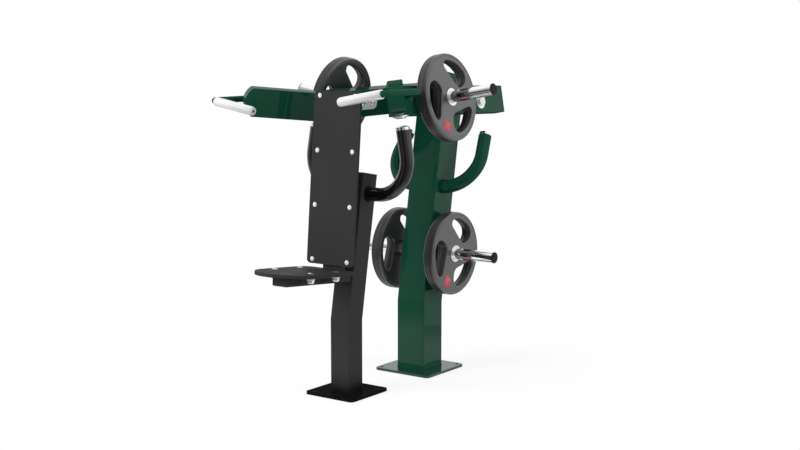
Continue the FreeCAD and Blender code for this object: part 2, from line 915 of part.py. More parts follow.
def make_disc():
    """Rubber disc about the X axis, centred on the origin, with hand openings."""
    half = disc_thickness / 2
    edge = disc_rim_round
    section = Part.makePolygon([
        vector(-half, disc_hub_radius, 0),
        vector(half, disc_hub_radius, 0),
        vector(half, disc_radius - edge, 0),
        vector(half - edge, disc_radius, 0),
        vector(-half + edge, disc_radius, 0),
        vector(-half, disc_radius - edge, 0),
        vector(-half, disc_hub_radius, 0),
    ])
    disc = Part.Face(section).revolve(ORIGIN, X_AXIS, 360)
    for number in range(disc_opening_count):
        angle = disc_opening_first_angle + number * 360 / disc_opening_count
        disc = disc.cut(turned(disc_opening(), ORIGIN, X_AXIS, angle))
    return disc


def make_disc_hub():
    """Steel bush of a disc about the X axis, with chamfered mouths."""
    half = disc_thickness / 2 + disc_hub_proud
    bore = horn_radius + disc_bore_clearance
    chamfer = disc_hub_chamfer
    section = Part.makePolygon([
        vector(-half, bore + chamfer, 0),
        vector(-half, disc_hub_radius, 0),
        vector(half, disc_hub_radius, 0),
        vector(half, bore + chamfer, 0),
        vector(half - chamfer, bore, 0),
        vector(-half + chamfer, bore, 0),
        vector(-half, bore + chamfer, 0),
    ])
    return Part.Face(section).revolve(ORIGIN, X_AXIS, 360)


def handle_path():
    """Centre line of the handle, from inside the arm round to the grip."""
    root_y = arm_pivot_y - handle_root_forward
    grip_y = arm_pivot_y - handle_grip_forward
    radius = handle_bend_radius
    rise = arm_centre_rise
    diagonal = radius * (1 - math.sqrt(0.5))
    root = vector((arm_pivot_side + handle_reach) / 2, root_y, rise)
    first = vector(handle_reach - radius, root_y, rise)
    first_middle = vector(handle_reach - diagonal, root_y - diagonal, rise)
    second = vector(handle_reach, root_y - radius, rise)
    third = vector(handle_reach, grip_y + radius, rise)
    third_middle = vector(handle_reach - diagonal, grip_y + diagonal, rise)
    fourth = vector(handle_reach - radius, grip_y, rise)
    edges = [
        Part.makeLine(root, first),
        Part.Arc(first, first_middle, second).toShape(),
        Part.makeLine(second, third),
        Part.Arc(third, third_middle, fourth).toShape(),
    ]
    return Part.Wire(edges)


def grip_point(side):
    """Point on the axis of the grip on the flat arm."""
    return vector(side, arm_pivot_y - handle_grip_forward, arm_centre_rise)


def make_handle():
    """Bent bar from the arm's outer face, drawn down to the spindle of the grip."""
    path = handle_path()
    start = path.Vertexes[0].Point
    profile = Part.Wire(Part.makeCircle(handle_radius, start, X_AXIS))
    bar = path.makePipeShell([profile], True, True)
    spindle_end = grip_free_end + retainer_thickness
    spindle = rod(spindle_radius, grip_point(spindle_end), grip_point(grip_outer_end))
    bolt_end = grip_point(spindle_end + retainer_bolt_length)
    spindle = spindle.cut(rod(retainer_bolt_radius, grip_point(spindle_end), bolt_end))
    return bar.fuse(spindle).removeSplitter().cut(arm_blocks())


def make_grip():
    """Bright sleeve that turns on the spindle."""
    start = grip_free_end + retainer_thickness + side_clearance
    end = grip_outer_end - side_clearance
    return ring(grip_radius, spindle_radius + running_clearance, grip_point(start), grip_point(end))


def make_grip_retainer():
    """Washer and bolt that keep the sleeve on its spindle."""
    seat = grip_free_end + retainer_thickness
    washer = rod(retainer_radius, grip_point(grip_free_end), grip_point(seat))
    shank = rod(retainer_bolt_radius, grip_point(seat), grip_point(seat + retainer_bolt_length))
    socket_end = grip_point(grip_free_end + retainer_socket_depth)
    retainer = washer.fuse(shank).removeSplitter()
    return retainer.cut(rod(retainer_socket_radius, grip_point(grip_free_end), socket_end))


def make_arm_bumper():
    """Flanged round pad under the arm, over the front stop."""
    seat = rear_point(front_stop_forward, 0, arm_low)
    flange = seat - Z_AXIS * bumper_flange_thickness
    pad = rod(bumper_radius, flange, seat - Z_AXIS * bumper_height)
    return rod(bumper_flange_radius, seat, flange).fuse(pad).removeSplitter()


def stop_frame(lean):
    """In-plane upward direction of a stop tube and the direction of its end."""
    up = vector(0, sine(lean), cosine(arm_roll_angle) * cosine(lean)).normalize()
    end = vector(-sine(arm_roll_angle) * cosine(lean), sine(lean), cosine(arm_roll_angle) * cosine(lean))
    return up, end


def front_stop_apex():
    """Top of the front stop: just under the bumper of the resting arm."""
    under = rear_point(front_stop_forward, 0, arm_low - bumper_height - seat_clearance)
    return roll(lift_point(under, -arm_rest_dip_angle))


def front_stop_rise():
    """Height of the front stop tube's end above the tube's root on the seat post."""
    return front_stop_apex().z - stop_cap_height * cosine(arm_roll_angle) - front_stop_root_height


def rear_stop_apex():
    """Top of the rear stop: its dome just meets the underside of the fully raised arm."""
    drop = arm_low - stop_dome_radius - seat_clearance
    centre = roll(lift_point(rear_point(-rear_stop_back, 0, drop), arm_raised_angle))
    return centre + stop_frame(rear_stop_lean_angle)[1] * stop_dome_radius


def make_stop_tube(apex, lean, rise, post_side):
    """J-shaped tube: straight out of the post's side, then bent up to the stop."""
    up, end_direction = stop_frame(lean)
    inward = math.degrees(math.asin(-end_direction.x))
    tube_end = apex - end_direction * stop_cap_height
    radius = stop_bend_radius
    straight = (rise - radius - radius * sine(inward)) / cosine(inward)
    bend_end = tube_end - end_direction * straight
    level = tube_end - up * rise
    bend_x = bend_end.x - radius * cosine(inward)
    bend_start = vector(bend_x, level.y, level.z)
    centre = bend_start + up * radius
    middle_angle = (90 + inward) / 2
    middle = centre + X_AXIS * (radius * sine(middle_angle)) - up * (radius * cosine(middle_angle))
    root = vector(post_side, level.y, level.z)
    path = Part.Wire([
        Part.makeLine(root, bend_start),
        Part.Arc(bend_start, middle, bend_end).toShape(),
        Part.makeLine(bend_end, tube_end),
    ])
    outer = Part.Wire(Part.makeCircle(stop_tube_radius, root, X_AXIS))
    inner = Part.Wire(Part.makeCircle(stop_tube_radius - stop_tube_wall, root, X_AXIS))
    return path.makePipeShell([outer], True, True).cut(path.makePipeShell([inner], True, True))


def make_stop_cap(apex, lean):
    """Bright domed cap on the end of a stop tube."""
    end_direction = stop_frame(lean)[1]
    seat = apex - end_direction * stop_cap_height
    drop = stop_dome_radius - math.sqrt(stop_dome_radius ** 2 - stop_tube_radius ** 2)
    rim = stop_cap_height - drop
    sides = line_edges([(stop_tube_radius, rim), (stop_tube_radius, 0), (0, 0), (0, stop_cap_height)])
    return lathe([dome_edge(stop_tube_radius, rim, stop_cap_height)] + sides, seat, end_direction)


def save_seat_stand():
    """Seat post with its seat, backrest and front stops."""
    save("seat_base_plate", ground_plate(seat_plate_side, seat_anchor_spacing, 0))
    save("seat_post", post_tubes(seat_post_side, 0, seat_post_upper_length))
    save("seat_post_cap", post_cap(seat_post_side, 0, seat_post_upper_length))
    save("seat_support", make_seat_support())
    save("seat_straps", make_seat_straps())
    save("seat_board", make_seat_board())
    save("seat_bolts", make_seat_bolts())
    save("seat_nuts", make_seat_nuts())
    save("backrest_panel", make_back_panel())
    save("backrest_straps", make_back_straps())
    save("backrest_spine", make_back_spine())
    save("backrest_brackets", make_back_brackets())
    save("backrest_bolts", make_back_bolts())
    save("backrest_nuts", make_back_nuts())
    front_tube = make_stop_tube(front_stop_apex(), 0, front_stop_rise(), seat_post_side / 2)
    save("front_stop_tubes", pair(front_tube))
    save("front_stop_caps", pair(make_stop_cap(front_stop_apex(), 0)))


def save_main_stand():
    """Main post with its pivots, storage horns and rear stops."""
    save("main_base_plate", ground_plate(main_plate_side, main_anchor_spacing, stand_spacing))
    save("main_post", post_tubes(main_post_side, stand_spacing, main_post_upper_length))
    save("main_post_cap", post_cap(main_post_side, stand_spacing, main_post_upper_length))
    rear_tube = make_stop_tube(rear_stop_apex(), rear_stop_lean_angle, rear_stop_rise, main_post_side / 2)
    save("rear_stop_tubes", pair(rear_tube))
    save("rear_stop_caps", pair(make_stop_cap(rear_stop_apex(), rear_stop_lean_angle)))
    save("pivot_bosses", pair(make_pivot_boss()))
    save("pivot_axles", pair(make_pivot_axle()))
    save("pivot_caps", pair(make_pivot_cap()))
    save("storage_horns", pair(make_horn(store_horn_point, main_post_side / 2, store_horn_end)))
    save("storage_horn_collars", pair(make_collar(store_horn_point, store_disc_face)))
    save("storage_horn_caps", pair(make_horn_cap(store_horn_point, store_horn_end)))


def save_both(name, shape):
    """Write a right-hand piece and its mirror image as two nodes."""
    save("right_" + name, shape)
    save("left_" + name, mirrored(shape))


def save_arm_piece(name, shape):
    """Write a piece of the flat arm as two nodes: the right one lifted off its stop, the left one resting."""
    save("right_" + name, roll_piece(lift_piece(shape, right_arm_tilt)))
    save("left_" + name, mirrored(roll_piece(lift_piece(shape, left_arm_tilt))))


def save_arms():
    """Both press arms with what moves on them."""
    save_arm_piece("arm_tube", make_arm_tubes())
    save_arm_piece("arm_hub", make_arm_hub())
    save_arm_piece("arm_bearings", group(make_arm_bearings()))
    save_arm_piece("arm_bumper", make_arm_bumper())
    save_arm_piece("arm_horn", make_arm_horn())
    save_arm_piece("arm_horn_collar", make_collar(arm_horn_point, arm_disc_face))
    save_arm_piece("arm_horn_cap", make_horn_cap(arm_horn_point, arm_horn_end))
    save_arm_piece("arm_horn_plate", make_arm_horn_plate())
    save_arm_piece("arm_horn_bolts", group(horn_plate_bolts()))
    save_arm_piece("handle", make_handle())
    save_arm_piece("grip_retainer", make_grip_retainer())
    save_arm_piece("grip", make_grip())


def save_discs():
    """The discs on the arms and on the storage horns."""
    for piece, shape in (("disc", make_disc()), ("disc_hub", make_disc_hub())):
        middle = arm_horn_point(arm_disc_face - disc_thickness / 2)
        on_right = moved(shape, lift_point(middle, right_arm_tilt))
        on_left = moved(shape, lift_point(middle, left_arm_tilt))
        stored = moved(shape, store_horn_point(store_disc_face - disc_thickness / 2))
        save("right_arm_" + piece, roll_piece(on_right))
        save("left_arm_" + piece, mirrored(roll_piece(on_left)))
        save_both("stored_" + piece, stored)


def main():
    """Write every node of the machine."""
    os.makedirs("parts", exist_ok=True)
    save_seat_stand()
    save_main_stand()
    save_arms()
    save_discs()


main()
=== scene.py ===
"""Looks of an outdoor shoulder press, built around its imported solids.

Metres, in the frame of the solids: X across the machine, +Y from the seat post back to the main post, +Z up.
"""
import bmesh
import bpy
import json
import math
from mathutils import Matrix, Vector
from mathutils.bvhtree import BVHTree


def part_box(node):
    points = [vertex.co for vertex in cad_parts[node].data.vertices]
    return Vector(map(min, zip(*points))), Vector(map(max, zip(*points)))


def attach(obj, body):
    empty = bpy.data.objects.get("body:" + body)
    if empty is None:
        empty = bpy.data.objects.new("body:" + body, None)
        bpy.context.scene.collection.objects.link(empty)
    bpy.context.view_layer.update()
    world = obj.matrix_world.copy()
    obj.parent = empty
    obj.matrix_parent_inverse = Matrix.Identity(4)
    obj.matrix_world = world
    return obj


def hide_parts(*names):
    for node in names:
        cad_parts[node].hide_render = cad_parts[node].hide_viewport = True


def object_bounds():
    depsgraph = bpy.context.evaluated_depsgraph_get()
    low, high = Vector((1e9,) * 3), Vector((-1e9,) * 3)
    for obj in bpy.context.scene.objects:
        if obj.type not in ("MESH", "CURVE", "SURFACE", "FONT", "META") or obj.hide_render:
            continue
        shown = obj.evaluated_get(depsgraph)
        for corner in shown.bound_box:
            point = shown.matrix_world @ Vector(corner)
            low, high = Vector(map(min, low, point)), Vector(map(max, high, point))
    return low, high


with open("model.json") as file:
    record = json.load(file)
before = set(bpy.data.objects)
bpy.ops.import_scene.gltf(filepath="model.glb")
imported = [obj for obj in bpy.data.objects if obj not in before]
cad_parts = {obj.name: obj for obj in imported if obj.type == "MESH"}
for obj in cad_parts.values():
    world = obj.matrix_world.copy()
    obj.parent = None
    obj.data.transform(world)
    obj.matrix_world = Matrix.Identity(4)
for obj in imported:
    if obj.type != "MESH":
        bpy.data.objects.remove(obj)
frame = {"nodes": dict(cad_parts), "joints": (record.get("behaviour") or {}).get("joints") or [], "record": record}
cad_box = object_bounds()
nodes = frame["nodes"]
sides = ("right", "left")
millimetre = 0.001

# The view of the photograph
camera_place = Vector((3.54097, -4.48971, 1.49884))
camera_aim = Vector((-0.5818, 0.8024, -0.1328))
camera_lens = 60.65
camera_sensor = 36.0
camera_reach = 100

# Discs
disc_tuck = 0.001
disc_rim_round = 0.008
disc_groove_inset = 0.0125
disc_groove_width = 0.002
disc_groove_depth = 0.0018
rim_groove_drop = disc_rim_round + 2 * disc_groove_width
disc_hub_round = 0.0015
rim_steps = 48
rim_round_steps = 6
hub_steps = 16
hub_round_steps = 2

# Hand openings of the discs
opening_count = 3
opening_first_angle = math.radians(60)
opening_outer = 0.158
opening_chord = 0.072
opening_chord_lean = math.radians(18)
opening_wall_angle = math.radians(34.5)
opening_tip_radius = 0.018
opening_heel_radius = 0.036
opening_shoulder_radius = 0.038
opening_round = 0.006
opening_round_steps = 5
tip_steps = 14
tip_arc_steps = 8
wide_arc_steps = 4
shoulder_steps = 14
heel_steps = 10

# Wall of an opening under its rounded edge: how far out, and share of half the thickness
finger_groove = 0.0015
finger_bulge = 0.0042
opening_wall = (
    (0.0, 0.08),
    (finger_groove, 0.16),
    (0.0, 0.24),
    (-0.6 * finger_bulge, 0.4),
    (-0.92 * finger_bulge, 0.58),
)

# Red patches
patch_width = 0.048
patch_height = 0.046
patch_radius = 0.138
patch_angle = math.radians(242)
patch_proud = 0.0006
patch_corner = 0.003
patch_corner_steps = 4

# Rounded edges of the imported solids
broad_edge = 0.002
broad_edge_steps = 3
beam_edge = 0.0015
arm_edge = 0.0012
strap_edge = 0.001
horn_plate_edge = 0.0008
fine_edge_steps = 2
rounded_edge_angle = math.radians(40)
flat_angle = math.radians(0.3)
corner_gap = 0.00002
broad_face_weight = 100

# Welds
weld_radius = 0.003
weld_step = 0.0015
weld_least_steps = 24
weld_pitch = 0.0045
weld_swell = 0.1
weld_sides = 8
weld_circle_steps = 64
post_corner = 0.006
post_corner_steps = 6
post_face_margin = 0.0002

# Handles and their grips
solid_handle_radius = 0.017
handle_radius = 0.0135
handle_reach_more = 0.013
handle_bend = 0.018
handle_far_bend = 0.05
handle_sink = 0.004
handle_edge_margin = 0.0005
handle_leg_depth = 2 * solid_handle_radius - handle_edge_margin
bend_steps = 10
bar_sides = 28
spindle_radius = 0.012
spindle_step = 0.0002
grip_radius = 0.019
grip_bore = 0.0126
grip_end_gap = 0.0005
grip_sides = 56
grip_rings = (
    (grip_bore, 0.0),
    (0.0172, 0.0),
    (0.0185, 0.0004),
    (grip_radius, 0.0014),
)
arm_plug_forward = 0.117
outer_probe = 0.05
inner_probe = 0.3

# Small turned fittings, and dark turned pieces of painted shade, in rings of radius, height and share of a
# six-sided form
seat_slope = math.radians(5)
seat_nut_radius = 0.018
seat_nut_rings = (
    (0.0166, 0.0, 0.0),
    (seat_nut_radius, 0.0010, 0.0),
    (seat_nut_radius, 0.0040, 0.0),
    (0.0170, 0.0050, 0.0),
    (0.0146, 0.0056, 0.7),
    (0.0140, 0.0085, 1.0),
    (0.0112, 0.0180, 1.0),
    (0.0096, 0.0206, 0.6),
    (0.0080, 0.0210, 0.0),
)
nut_flats = 6
pivot_cover_rings = (
    (0.0206, -0.0006, 0.0),
    (0.0206, 0.0008, 0.0),
    (0.0196, 0.0018, 0.0),
    (0.0140, 0.0024, 0.0),
    (0.0060, 0.0026, 0.0),
)
retainer_socket_shade_rings = (
    (0.0054, -0.0029, 0.0),
    (0.0054, -0.0008, 0.0),
    (0.0046, -0.0002, 0.0),
)
arm_plug_rings = (
    (0.0150, -0.0008, 0.0),
    (0.0150, 0.0003, 0.0),
    (0.0142, 0.0009, 0.0),
    (0.0130, 0.0007, 0.0),
    (0.0124, 0.0001, 0.0),
)
anchor_hole_shade_rings = (
    (0.0088, 0.0020, 0.0),
    (0.0088, 0.0092, 0.0),
    (0.0072, 0.0101, 0.0),
)
anchor_hole_shade_steps = 32
turned_steps = 48
end_face_margin = 0.0001
sharp_angle = math.radians(32)

# Tones of paint, metal, dust and light
green_tone = (0.0068, 0.074, 0.0415, 1)
worn_green_tone = (0.013, 0.095, 0.057, 1)
dark_tone = (0.009, 0.009, 0.0092, 1)
satin_tone = (0.97, 0.97, 0.965, 1)
polished_tone = (0.96, 0.96, 0.955, 1)
dust_tone = (0.34, 0.32, 0.29, 1)
painted_shade_tone = (0.003, 0.003, 0.003, 1)
white = (1, 1, 1, 1)
black = (0, 0, 0, 1)

# Sockets of node groups and of the plain shader
colour_socket = "NodeSocketColor"
value_socket = "NodeSocketFloat"
socket_labels = {
    "metallic": "Metallic",
    "roughness": "Roughness",
    "specular": "Specular IOR Level",
    "coat": "Coat Weight",
    "coat_roughness": "Coat Roughness",
}

# Drift, grain, dust, edge wear and painted edge highlight, and painted shade at the foot
noise_span = (0.3, 0.7)
coarse_grain_scale = 0.28
grain_depth = 0.001
dust_slope_span = (0.6, 1.0)
dust_patch_span = (0.35, 0.7)
dust_patch_scale = 22.0
dust_patch_least = 0.2
dust_matte = 0.5
edge_line_span = (0.52, 0.62)
edge_break_span = (0.4, 0.65)
edge_break_scale = 60.0
foot_painted_shade_span = (0.012, 0.11)
foot_painted_shade_uneven = 0.006
foot_painted_shade_scale = 9.0
foot_painted_shade_fall = 1.6

# Floor, with its two glows from the middle to the edge
floor_radius = 1.25
floor_place = (0, 0.3, -0.0005)
floor_sides = 96
floor_tone = (0.32, 0.32, 0.32, 1)
floor_roughness = 0.9
floor_fade_span = (0.6 * floor_radius, floor_radius)
floor_glow = (0.78, 1.0)
floor_mirror_glow = (0.7, 0.3)
whole_span = (0.0, 1.0)

# Surroundings
fill_strength = 0.5
dark_front_aim = (0.2, -0.97, -0.1)
dark_front_span = (0.2, 0.65)
dark_front_level = 0.35
below_span = (-0.3, 0.1)
below_level = 0.6
strip_level = 0.1
strip_edge = math.radians(7)
front_strip_angle = math.radians(-80)
front_strip_half = math.radians(12)
back_strip_angle = math.radians(126)
back_strip_half = math.radians(14)
back_strip_top_span = (-0.02, 0.04)

# Lamps, by place, size and power
key_lamp = ((-2.2, -4.2, 2.5), (3.6, 2.4), 155)
side_lamp = ((4.6, 0.4, 1.5), (2.4, 2.4), 60)


# Parts of the frame


def joint_axis(body, right=True):
    """Axis of the joint that carries a body, towards the machine's right or its left."""
    joint = next(joint for joint in frame["joints"] if joint["child"] == body)
    axis = Vector(joint["axis"]).normalized()
    return axis if (axis.x > 0) == right else -axis


def outward_axis(side):
    """Axis of an arm's pivot and handle, away from the machine."""
    return joint_axis(side + "_arm", right=side == "right")


def mount_of(name):
    """A mount of the record."""
    return next(mount for mount in frame["record"]["mounts"] if mount["name"] == name)


def box_middle(node):
    """Middle of a node's box."""
    low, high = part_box(node)
    return (low + high) / 2


def box_size(node):
    """Size of a node's box."""
    low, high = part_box(node)
    return high - low


def place_points(node):
    """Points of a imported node's mesh, in the frame."""
    thing = nodes[node]
    return [thing.matrix_world @ point.co for point in thing.data.vertices]


def middle_of(points):
    """Middle of the box round some points."""
    return Vector([(min(p[axis] for p in points) + max(p[axis] for p in points)) / 2 for axis in range(3)])


def end_spot(points, direction):
    """Middle of the end face of a round piece, the way a direction looks."""
    direction = Vector(direction).normalized()
    reach = max(point.dot(direction) for point in points)
    return middle_of([point for point in points if point.dot(direction) > reach - end_face_margin])


# Objects and meshes


def add_object(name, data):
    """New object in the scene."""
    thing = bpy.data.objects.new(name, data)
    bpy.context.scene.collection.objects.link(thing)
    return thing


def mesh_from(name, builder):
    """Close a bmesh into a smooth-shaded mesh."""
    bmesh.ops.recalc_face_normals(builder, faces=builder.faces)
    for face in builder.faces:
        face.smooth = True
    mesh = bpy.data.meshes.new(name)
    builder.to_mesh(mesh)
    builder.free()
    return mesh


def add_piece(name, builder, body, slot, finish=None):
    """Piece that rides on a body, in a finish of its own or else its material slot's."""
    mesh = mesh_from(name, builder)
    mesh.set_sharp_from_angle(angle=sharp_angle)
    mesh.materials.append(finish or finishes[slot])
    thing = add_object(name, mesh)
    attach(thing, body)
    return thing


def even_shading(thing):
    """Keep broad faces flat while the rounded edges between them shade smoothly."""
    shading = thing.modifiers.new("even_shading", "WEIGHTED_NORMAL")
    shading.weight = broad_face_weight


def stand_on(spot, direction):
    """Matrix that stands a piece drawn about Z on a spot."""
    return Matrix.Translation(spot) @ Vector(direction).to_track_quat("Z", "Y").to_matrix().to_4x4()


def polar(radius, angle):
    """Point of a flat face."""
    return (radius * math.cos(angle), radius * math.sin(angle))


def arc_points(centre, radius, first, last, steps):
    """Points along an arc of a flat face."""
    points = []
    for step in range(steps + 1):
        angle = first + (last - first) * step / steps
        points.append((centre[0] + radius * math.cos(angle), centre[1] + radius * math.sin(angle)))
    return points


def circle_points(radius, steps):
    """Points round a circle of a flat face."""
    return arc_points((0.0, 0.0), radius, 0.0, 2 * math.pi, steps)[:-1]


def turn_point(point, angle):
    """Point of a flat face turned about its middle."""
    cosine, sine = math.cos(angle), math.sin(angle)
    return (point[0] * cosine - point[1] * sine, point[0] * sine + point[1] * cosine)


def turn_points(points, angle):
    """Outline on a flat face turned about the face's middle."""
    return [turn_point(point, angle) for point in points]


def quarter_turns(steps):
    """Even steps of a quarter turn."""
    return [step / steps * math.pi / 2 for step in range(steps + 1)]


def add_loop(builder, points, height):
    """Ring of points at one height."""
    return [builder.verts.new((x, y, height)) for x, y in points]


def add_ring(builder, centre, across, normal, radius, steps):
    """Ring of points round a line."""
    ring = []
    for step in range(steps):
        angle = 2 * math.pi * step / steps
        offset = (across * math.cos(angle) + normal * math.sin(angle)) * radius
        ring.append(builder.verts.new(centre + offset))
    return ring


def bridge(builder, loops, finish=0):
    """Faces between rings that follow one another, in one of the mesh's finishes."""
    for upper, lower in zip(loops, loops[1:]):
        for number in range(len(upper)):
            after = (number + 1) % len(upper)
            face = builder.faces.new((upper[number], upper[after], lower[after], lower[number]))
            face.material_index = finish


def close_ends(builder, loops):
    """Faces between rings that follow one another, and a flat face on each end."""
    bridge(builder, loops)
    builder.faces.new(loops[0])
    builder.faces.new(loops[-1])


def add_turned(builder, rings, place, steps=turned_steps):
    """Closed turned piece from rings of radius, height and share of a six-sided form."""
    flat = 2 * math.pi / nut_flats
    loops = []
    for radius, height, facets in rings:
        points = []
        for step in range(steps):
            angle = 2 * math.pi * step / steps
            within = (angle + flat / 2) % flat - flat / 2
            points.append(polar(radius * (1 + facets * (1 / math.cos(within) - 1)), angle))
        loops.append(add_loop(builder, points, height))
    close_ends(builder, loops)
    bmesh.ops.transform(builder, matrix=place, verts=[point for loop in loops for point in loop])


# Shader nodes


def new_group(name, inputs, outputs):
    """Empty shader node group with named sockets, what it is given and what it puts out."""
    group = bpy.data.node_groups.new(name, "ShaderNodeTree")
    for in_out, sockets in (("INPUT", inputs), ("OUTPUT", outputs)):
        for label, kind in sockets.items():
            group.interface.new_socket(label, in_out=in_out, socket_type=kind)
    given = group.nodes.new("NodeGroupInput").outputs
    result = group.nodes.new("NodeGroupOutput").inputs
    return group, given, result


def feed(tree, socket, source):
    """Link a socket to another, or give it a plain value."""
    if isinstance(source, bpy.types.NodeSocket):
        tree.links.new(source, socket)
    else:
        socket.default_value = source


def put(tree, kind, values=None, **settings):
    """New shader node of a kind, with its settings and inputs."""
    node = tree.nodes.new("ShaderNode" + kind)
    for name, setting in settings.items():
        setattr(node, name, setting)
    for name, source in (values or {}).items():
        feed(tree, node.inputs[name], source)
    return node


def put_group(tree, group, values):
    """New copy of a node group in a tree."""
    return put(tree, "Group", values, node_tree=group)


def put_noise(tree, scale, detail):
    """Noise over the object's own place, in features per metre."""
    place = put(tree, "TexCoord").outputs["Object"]
    noise = put(tree, "TexNoise", {"Vector": place, "Scale": scale, "Detail": detail})
    return noise.outputs["Fac"]


def put_range(tree, source, span, low=0.0, high=1.0):
    """Map a value from its span to another range."""
    values = {"Value": source, "From Min": span[0], "From Max": span[1], "To Min": low, "To Max": high}
    return put(tree, "MapRange", values).outputs["Result"]


def put_swing(tree, scale, detail, reach=1.0):
    """Noise that swings evenly either side of nought."""
    return put_range(tree, put_noise(tree, scale, detail), noise_span, -reach, reach)


def put_maths(tree, operation, first, second=0.0):
    """One sum on one value or two."""
    return put(tree, "Math", {0: first, 1: second}, operation=operation).outputs["Value"]


def put_product(tree, first, *others):
    """Product of some values."""
    product = first
    for other in others:
        product = put_maths(tree, "MULTIPLY", product, other)
    return product


def put_mix(tree, factor, first, second):
    """Mix of two colours."""
    node = put(tree, "Mix", {"Factor": factor, 6: first, 7: second}, data_type="RGBA")
    return node.outputs[2]


# Effects that the finishes share


def new_drift(name, label, kind, detail):
    """Node group of a drift over a surface: what it is given and what it puts out, and how far it swings."""
    inputs = {label: kind, "Scale": value_socket, "Amount": value_socket}
    group, given, result = new_group(name, inputs, {label: kind})
    swing = put_product(group, put_swing(group, given["Scale"], detail), given["Amount"])
    return group, given[label], result[label], swing


def make_tone_drift():
    """Colour that drifts a little lighter and darker over a surface."""
    group, colour, result, swing = new_drift("tone_drift", "Colour", colour_socket, detail=4.0)
    values = {0: colour, "Scale": put_maths(group, "ADD", swing, 1.0)}
    scaled = put(group, "VectorMath", values, operation="SCALE")
    feed(group, result, scaled.outputs["Vector"])
    return group


def make_gloss_drift():
    """Roughness that drifts over a surface, as handling and rain leave it."""
    group, roughness, result, swing = new_drift("gloss_drift", "Roughness", value_socket, detail=5.0)
    feed(group, result, put_maths(group, "ADD", roughness, swing))
    return group


def make_fine_grain():
    """Height of a fine moulded or sprayed grain."""
    inputs = {"Scale": value_socket, "Coarse Share": value_socket}
    group, given, result = new_group("fine_grain", inputs, {"Height": value_socket})
    fine = put_noise(group, given["Scale"], detail=2.0)
    coarse = put_noise(group, put_product(group, given["Scale"], coarse_grain_scale), detail=2.0)
    values = {"Factor": given["Coarse Share"], 2: fine, 3: coarse}
    mixed = put(group, "Mix", values, data_type="FLOAT")
    feed(group, result["Height"], mixed.outputs[0])
    return group


def make_settled_dust():
    """Thin dust on faces that look up, uneven and matte."""
    outputs = {"Colour": colour_socket, "Roughness": value_socket}
    inputs = {**outputs, "Dust Colour": colour_socket, "Amount": value_socket}
    group, given, result = new_group("settled_dust", inputs, outputs)
    normal = put(group, "NewGeometry").outputs["Normal"]
    upward = put(group, "SeparateXYZ", {"Vector": normal}).outputs["Z"]
    facing = put_range(group, upward, dust_slope_span)
    patches = put_noise(group, dust_patch_scale, detail=6.0)
    patchy = put_range(group, patches, dust_patch_span, dust_patch_least)
    share = put_product(group, facing, patchy, given["Amount"])
    colour = put_mix(group, share, given["Colour"], given["Dust Colour"])
    matte = put_product(group, share, dust_matte)
    feed(group, result["Colour"], colour)
    feed(group, result["Roughness"], put_maths(group, "ADD", given["Roughness"], matte))
    return group


def make_edge_wear_and_highlight():
    """Broken, lighter line along edges and corners: wear, and on the black plate a painted highlight along its
    edges.
    """
    inputs = {"Colour": colour_socket, "Edge Colour": colour_socket, "Amount": value_socket}
    group, given, result = new_group("edge_wear_and_highlight", inputs, {"Colour": colour_socket})
    pointed = put(group, "NewGeometry").outputs["Pointiness"]
    edge = put_range(group, pointed, edge_line_span)
    broken = put_range(group, put_noise(group, edge_break_scale, detail=5.0), edge_break_span)
    share = put_product(group, edge, broken, given["Amount"])
    colour = put_mix(group, share, given["Colour"], given["Edge Colour"])
    feed(group, result["Colour"], colour)
    return group


def make_foot_painted_shade():
    """Painted shade: paint that darkens towards the ground, standing in for the shade near a post's foot."""
    inputs = {"Colour": colour_socket, "Shade Colour": colour_socket, "Amount": value_socket}
    group, given, result = new_group("foot_painted_shade", inputs, {"Colour": colour_socket})
    place = put(group, "TexCoord").outputs["Object"]
    height = put(group, "SeparateXYZ", {"Vector": place}).outputs["Z"]
    uneven = put_swing(group, foot_painted_shade_scale, detail=3.0, reach=foot_painted_shade_uneven)
    low = put_range(group, put_maths(group, "ADD", height, uneven), foot_painted_shade_span, 1.0, 0.0)
    share = put_product(group, put_maths(group, "POWER", low, foot_painted_shade_fall), given["Amount"])
    colour = put_mix(group, share, given["Colour"], given["Shade Colour"])
    feed(group, result["Colour"], colour)
    return group


tone_drift = make_tone_drift()
gloss_drift = make_gloss_drift()
fine_grain = make_fine_grain()
settled_dust = make_settled_dust()
edge_wear_and_highlight = make_edge_wear_and_highlight()
foot_painted_shade = make_foot_painted_shade()


# Kinds of finish


def new_material(name, **values):
    """Material with a plain shader whose even values are set on its own sockets."""
    material = bpy.data.materials.new(name)
    material.use_nodes = True
    shader = material.node_tree.nodes["Principled BSDF"]
    for key, value in values.items():
        shader.inputs[socket_labels[key]].default_value = value
    return material, material.node_tree, shader


def drift_tone(tree, colour, scale, amount):
    """A colour with its drift of tone."""
    values = {"Colour": colour, "Scale": scale, "Amount": amount}
    return put_group(tree, tone_drift, values).outputs["Colour"]


def drift_gloss(tree, roughness, scale, amount):
    """A roughness with its drift of gloss."""
    values = {"Roughness": roughness, "Scale": scale, "Amount": amount}
    return put_group(tree, gloss_drift, values).outputs["Roughness"]


def set_grain(tree, shader, scale, coarse_share, strength):
    """Bump of fine grain on a shader."""
    grain = put_group(tree, fine_grain, {"Scale": scale, "Coarse Share": coarse_share})
    values = {"Height": grain.outputs["Height"], "Strength": strength, "Distance": grain_depth}
    bump = put(tree, "Bump", values)
    feed(tree, shader.inputs["Normal"], bump.outputs["Normal"])


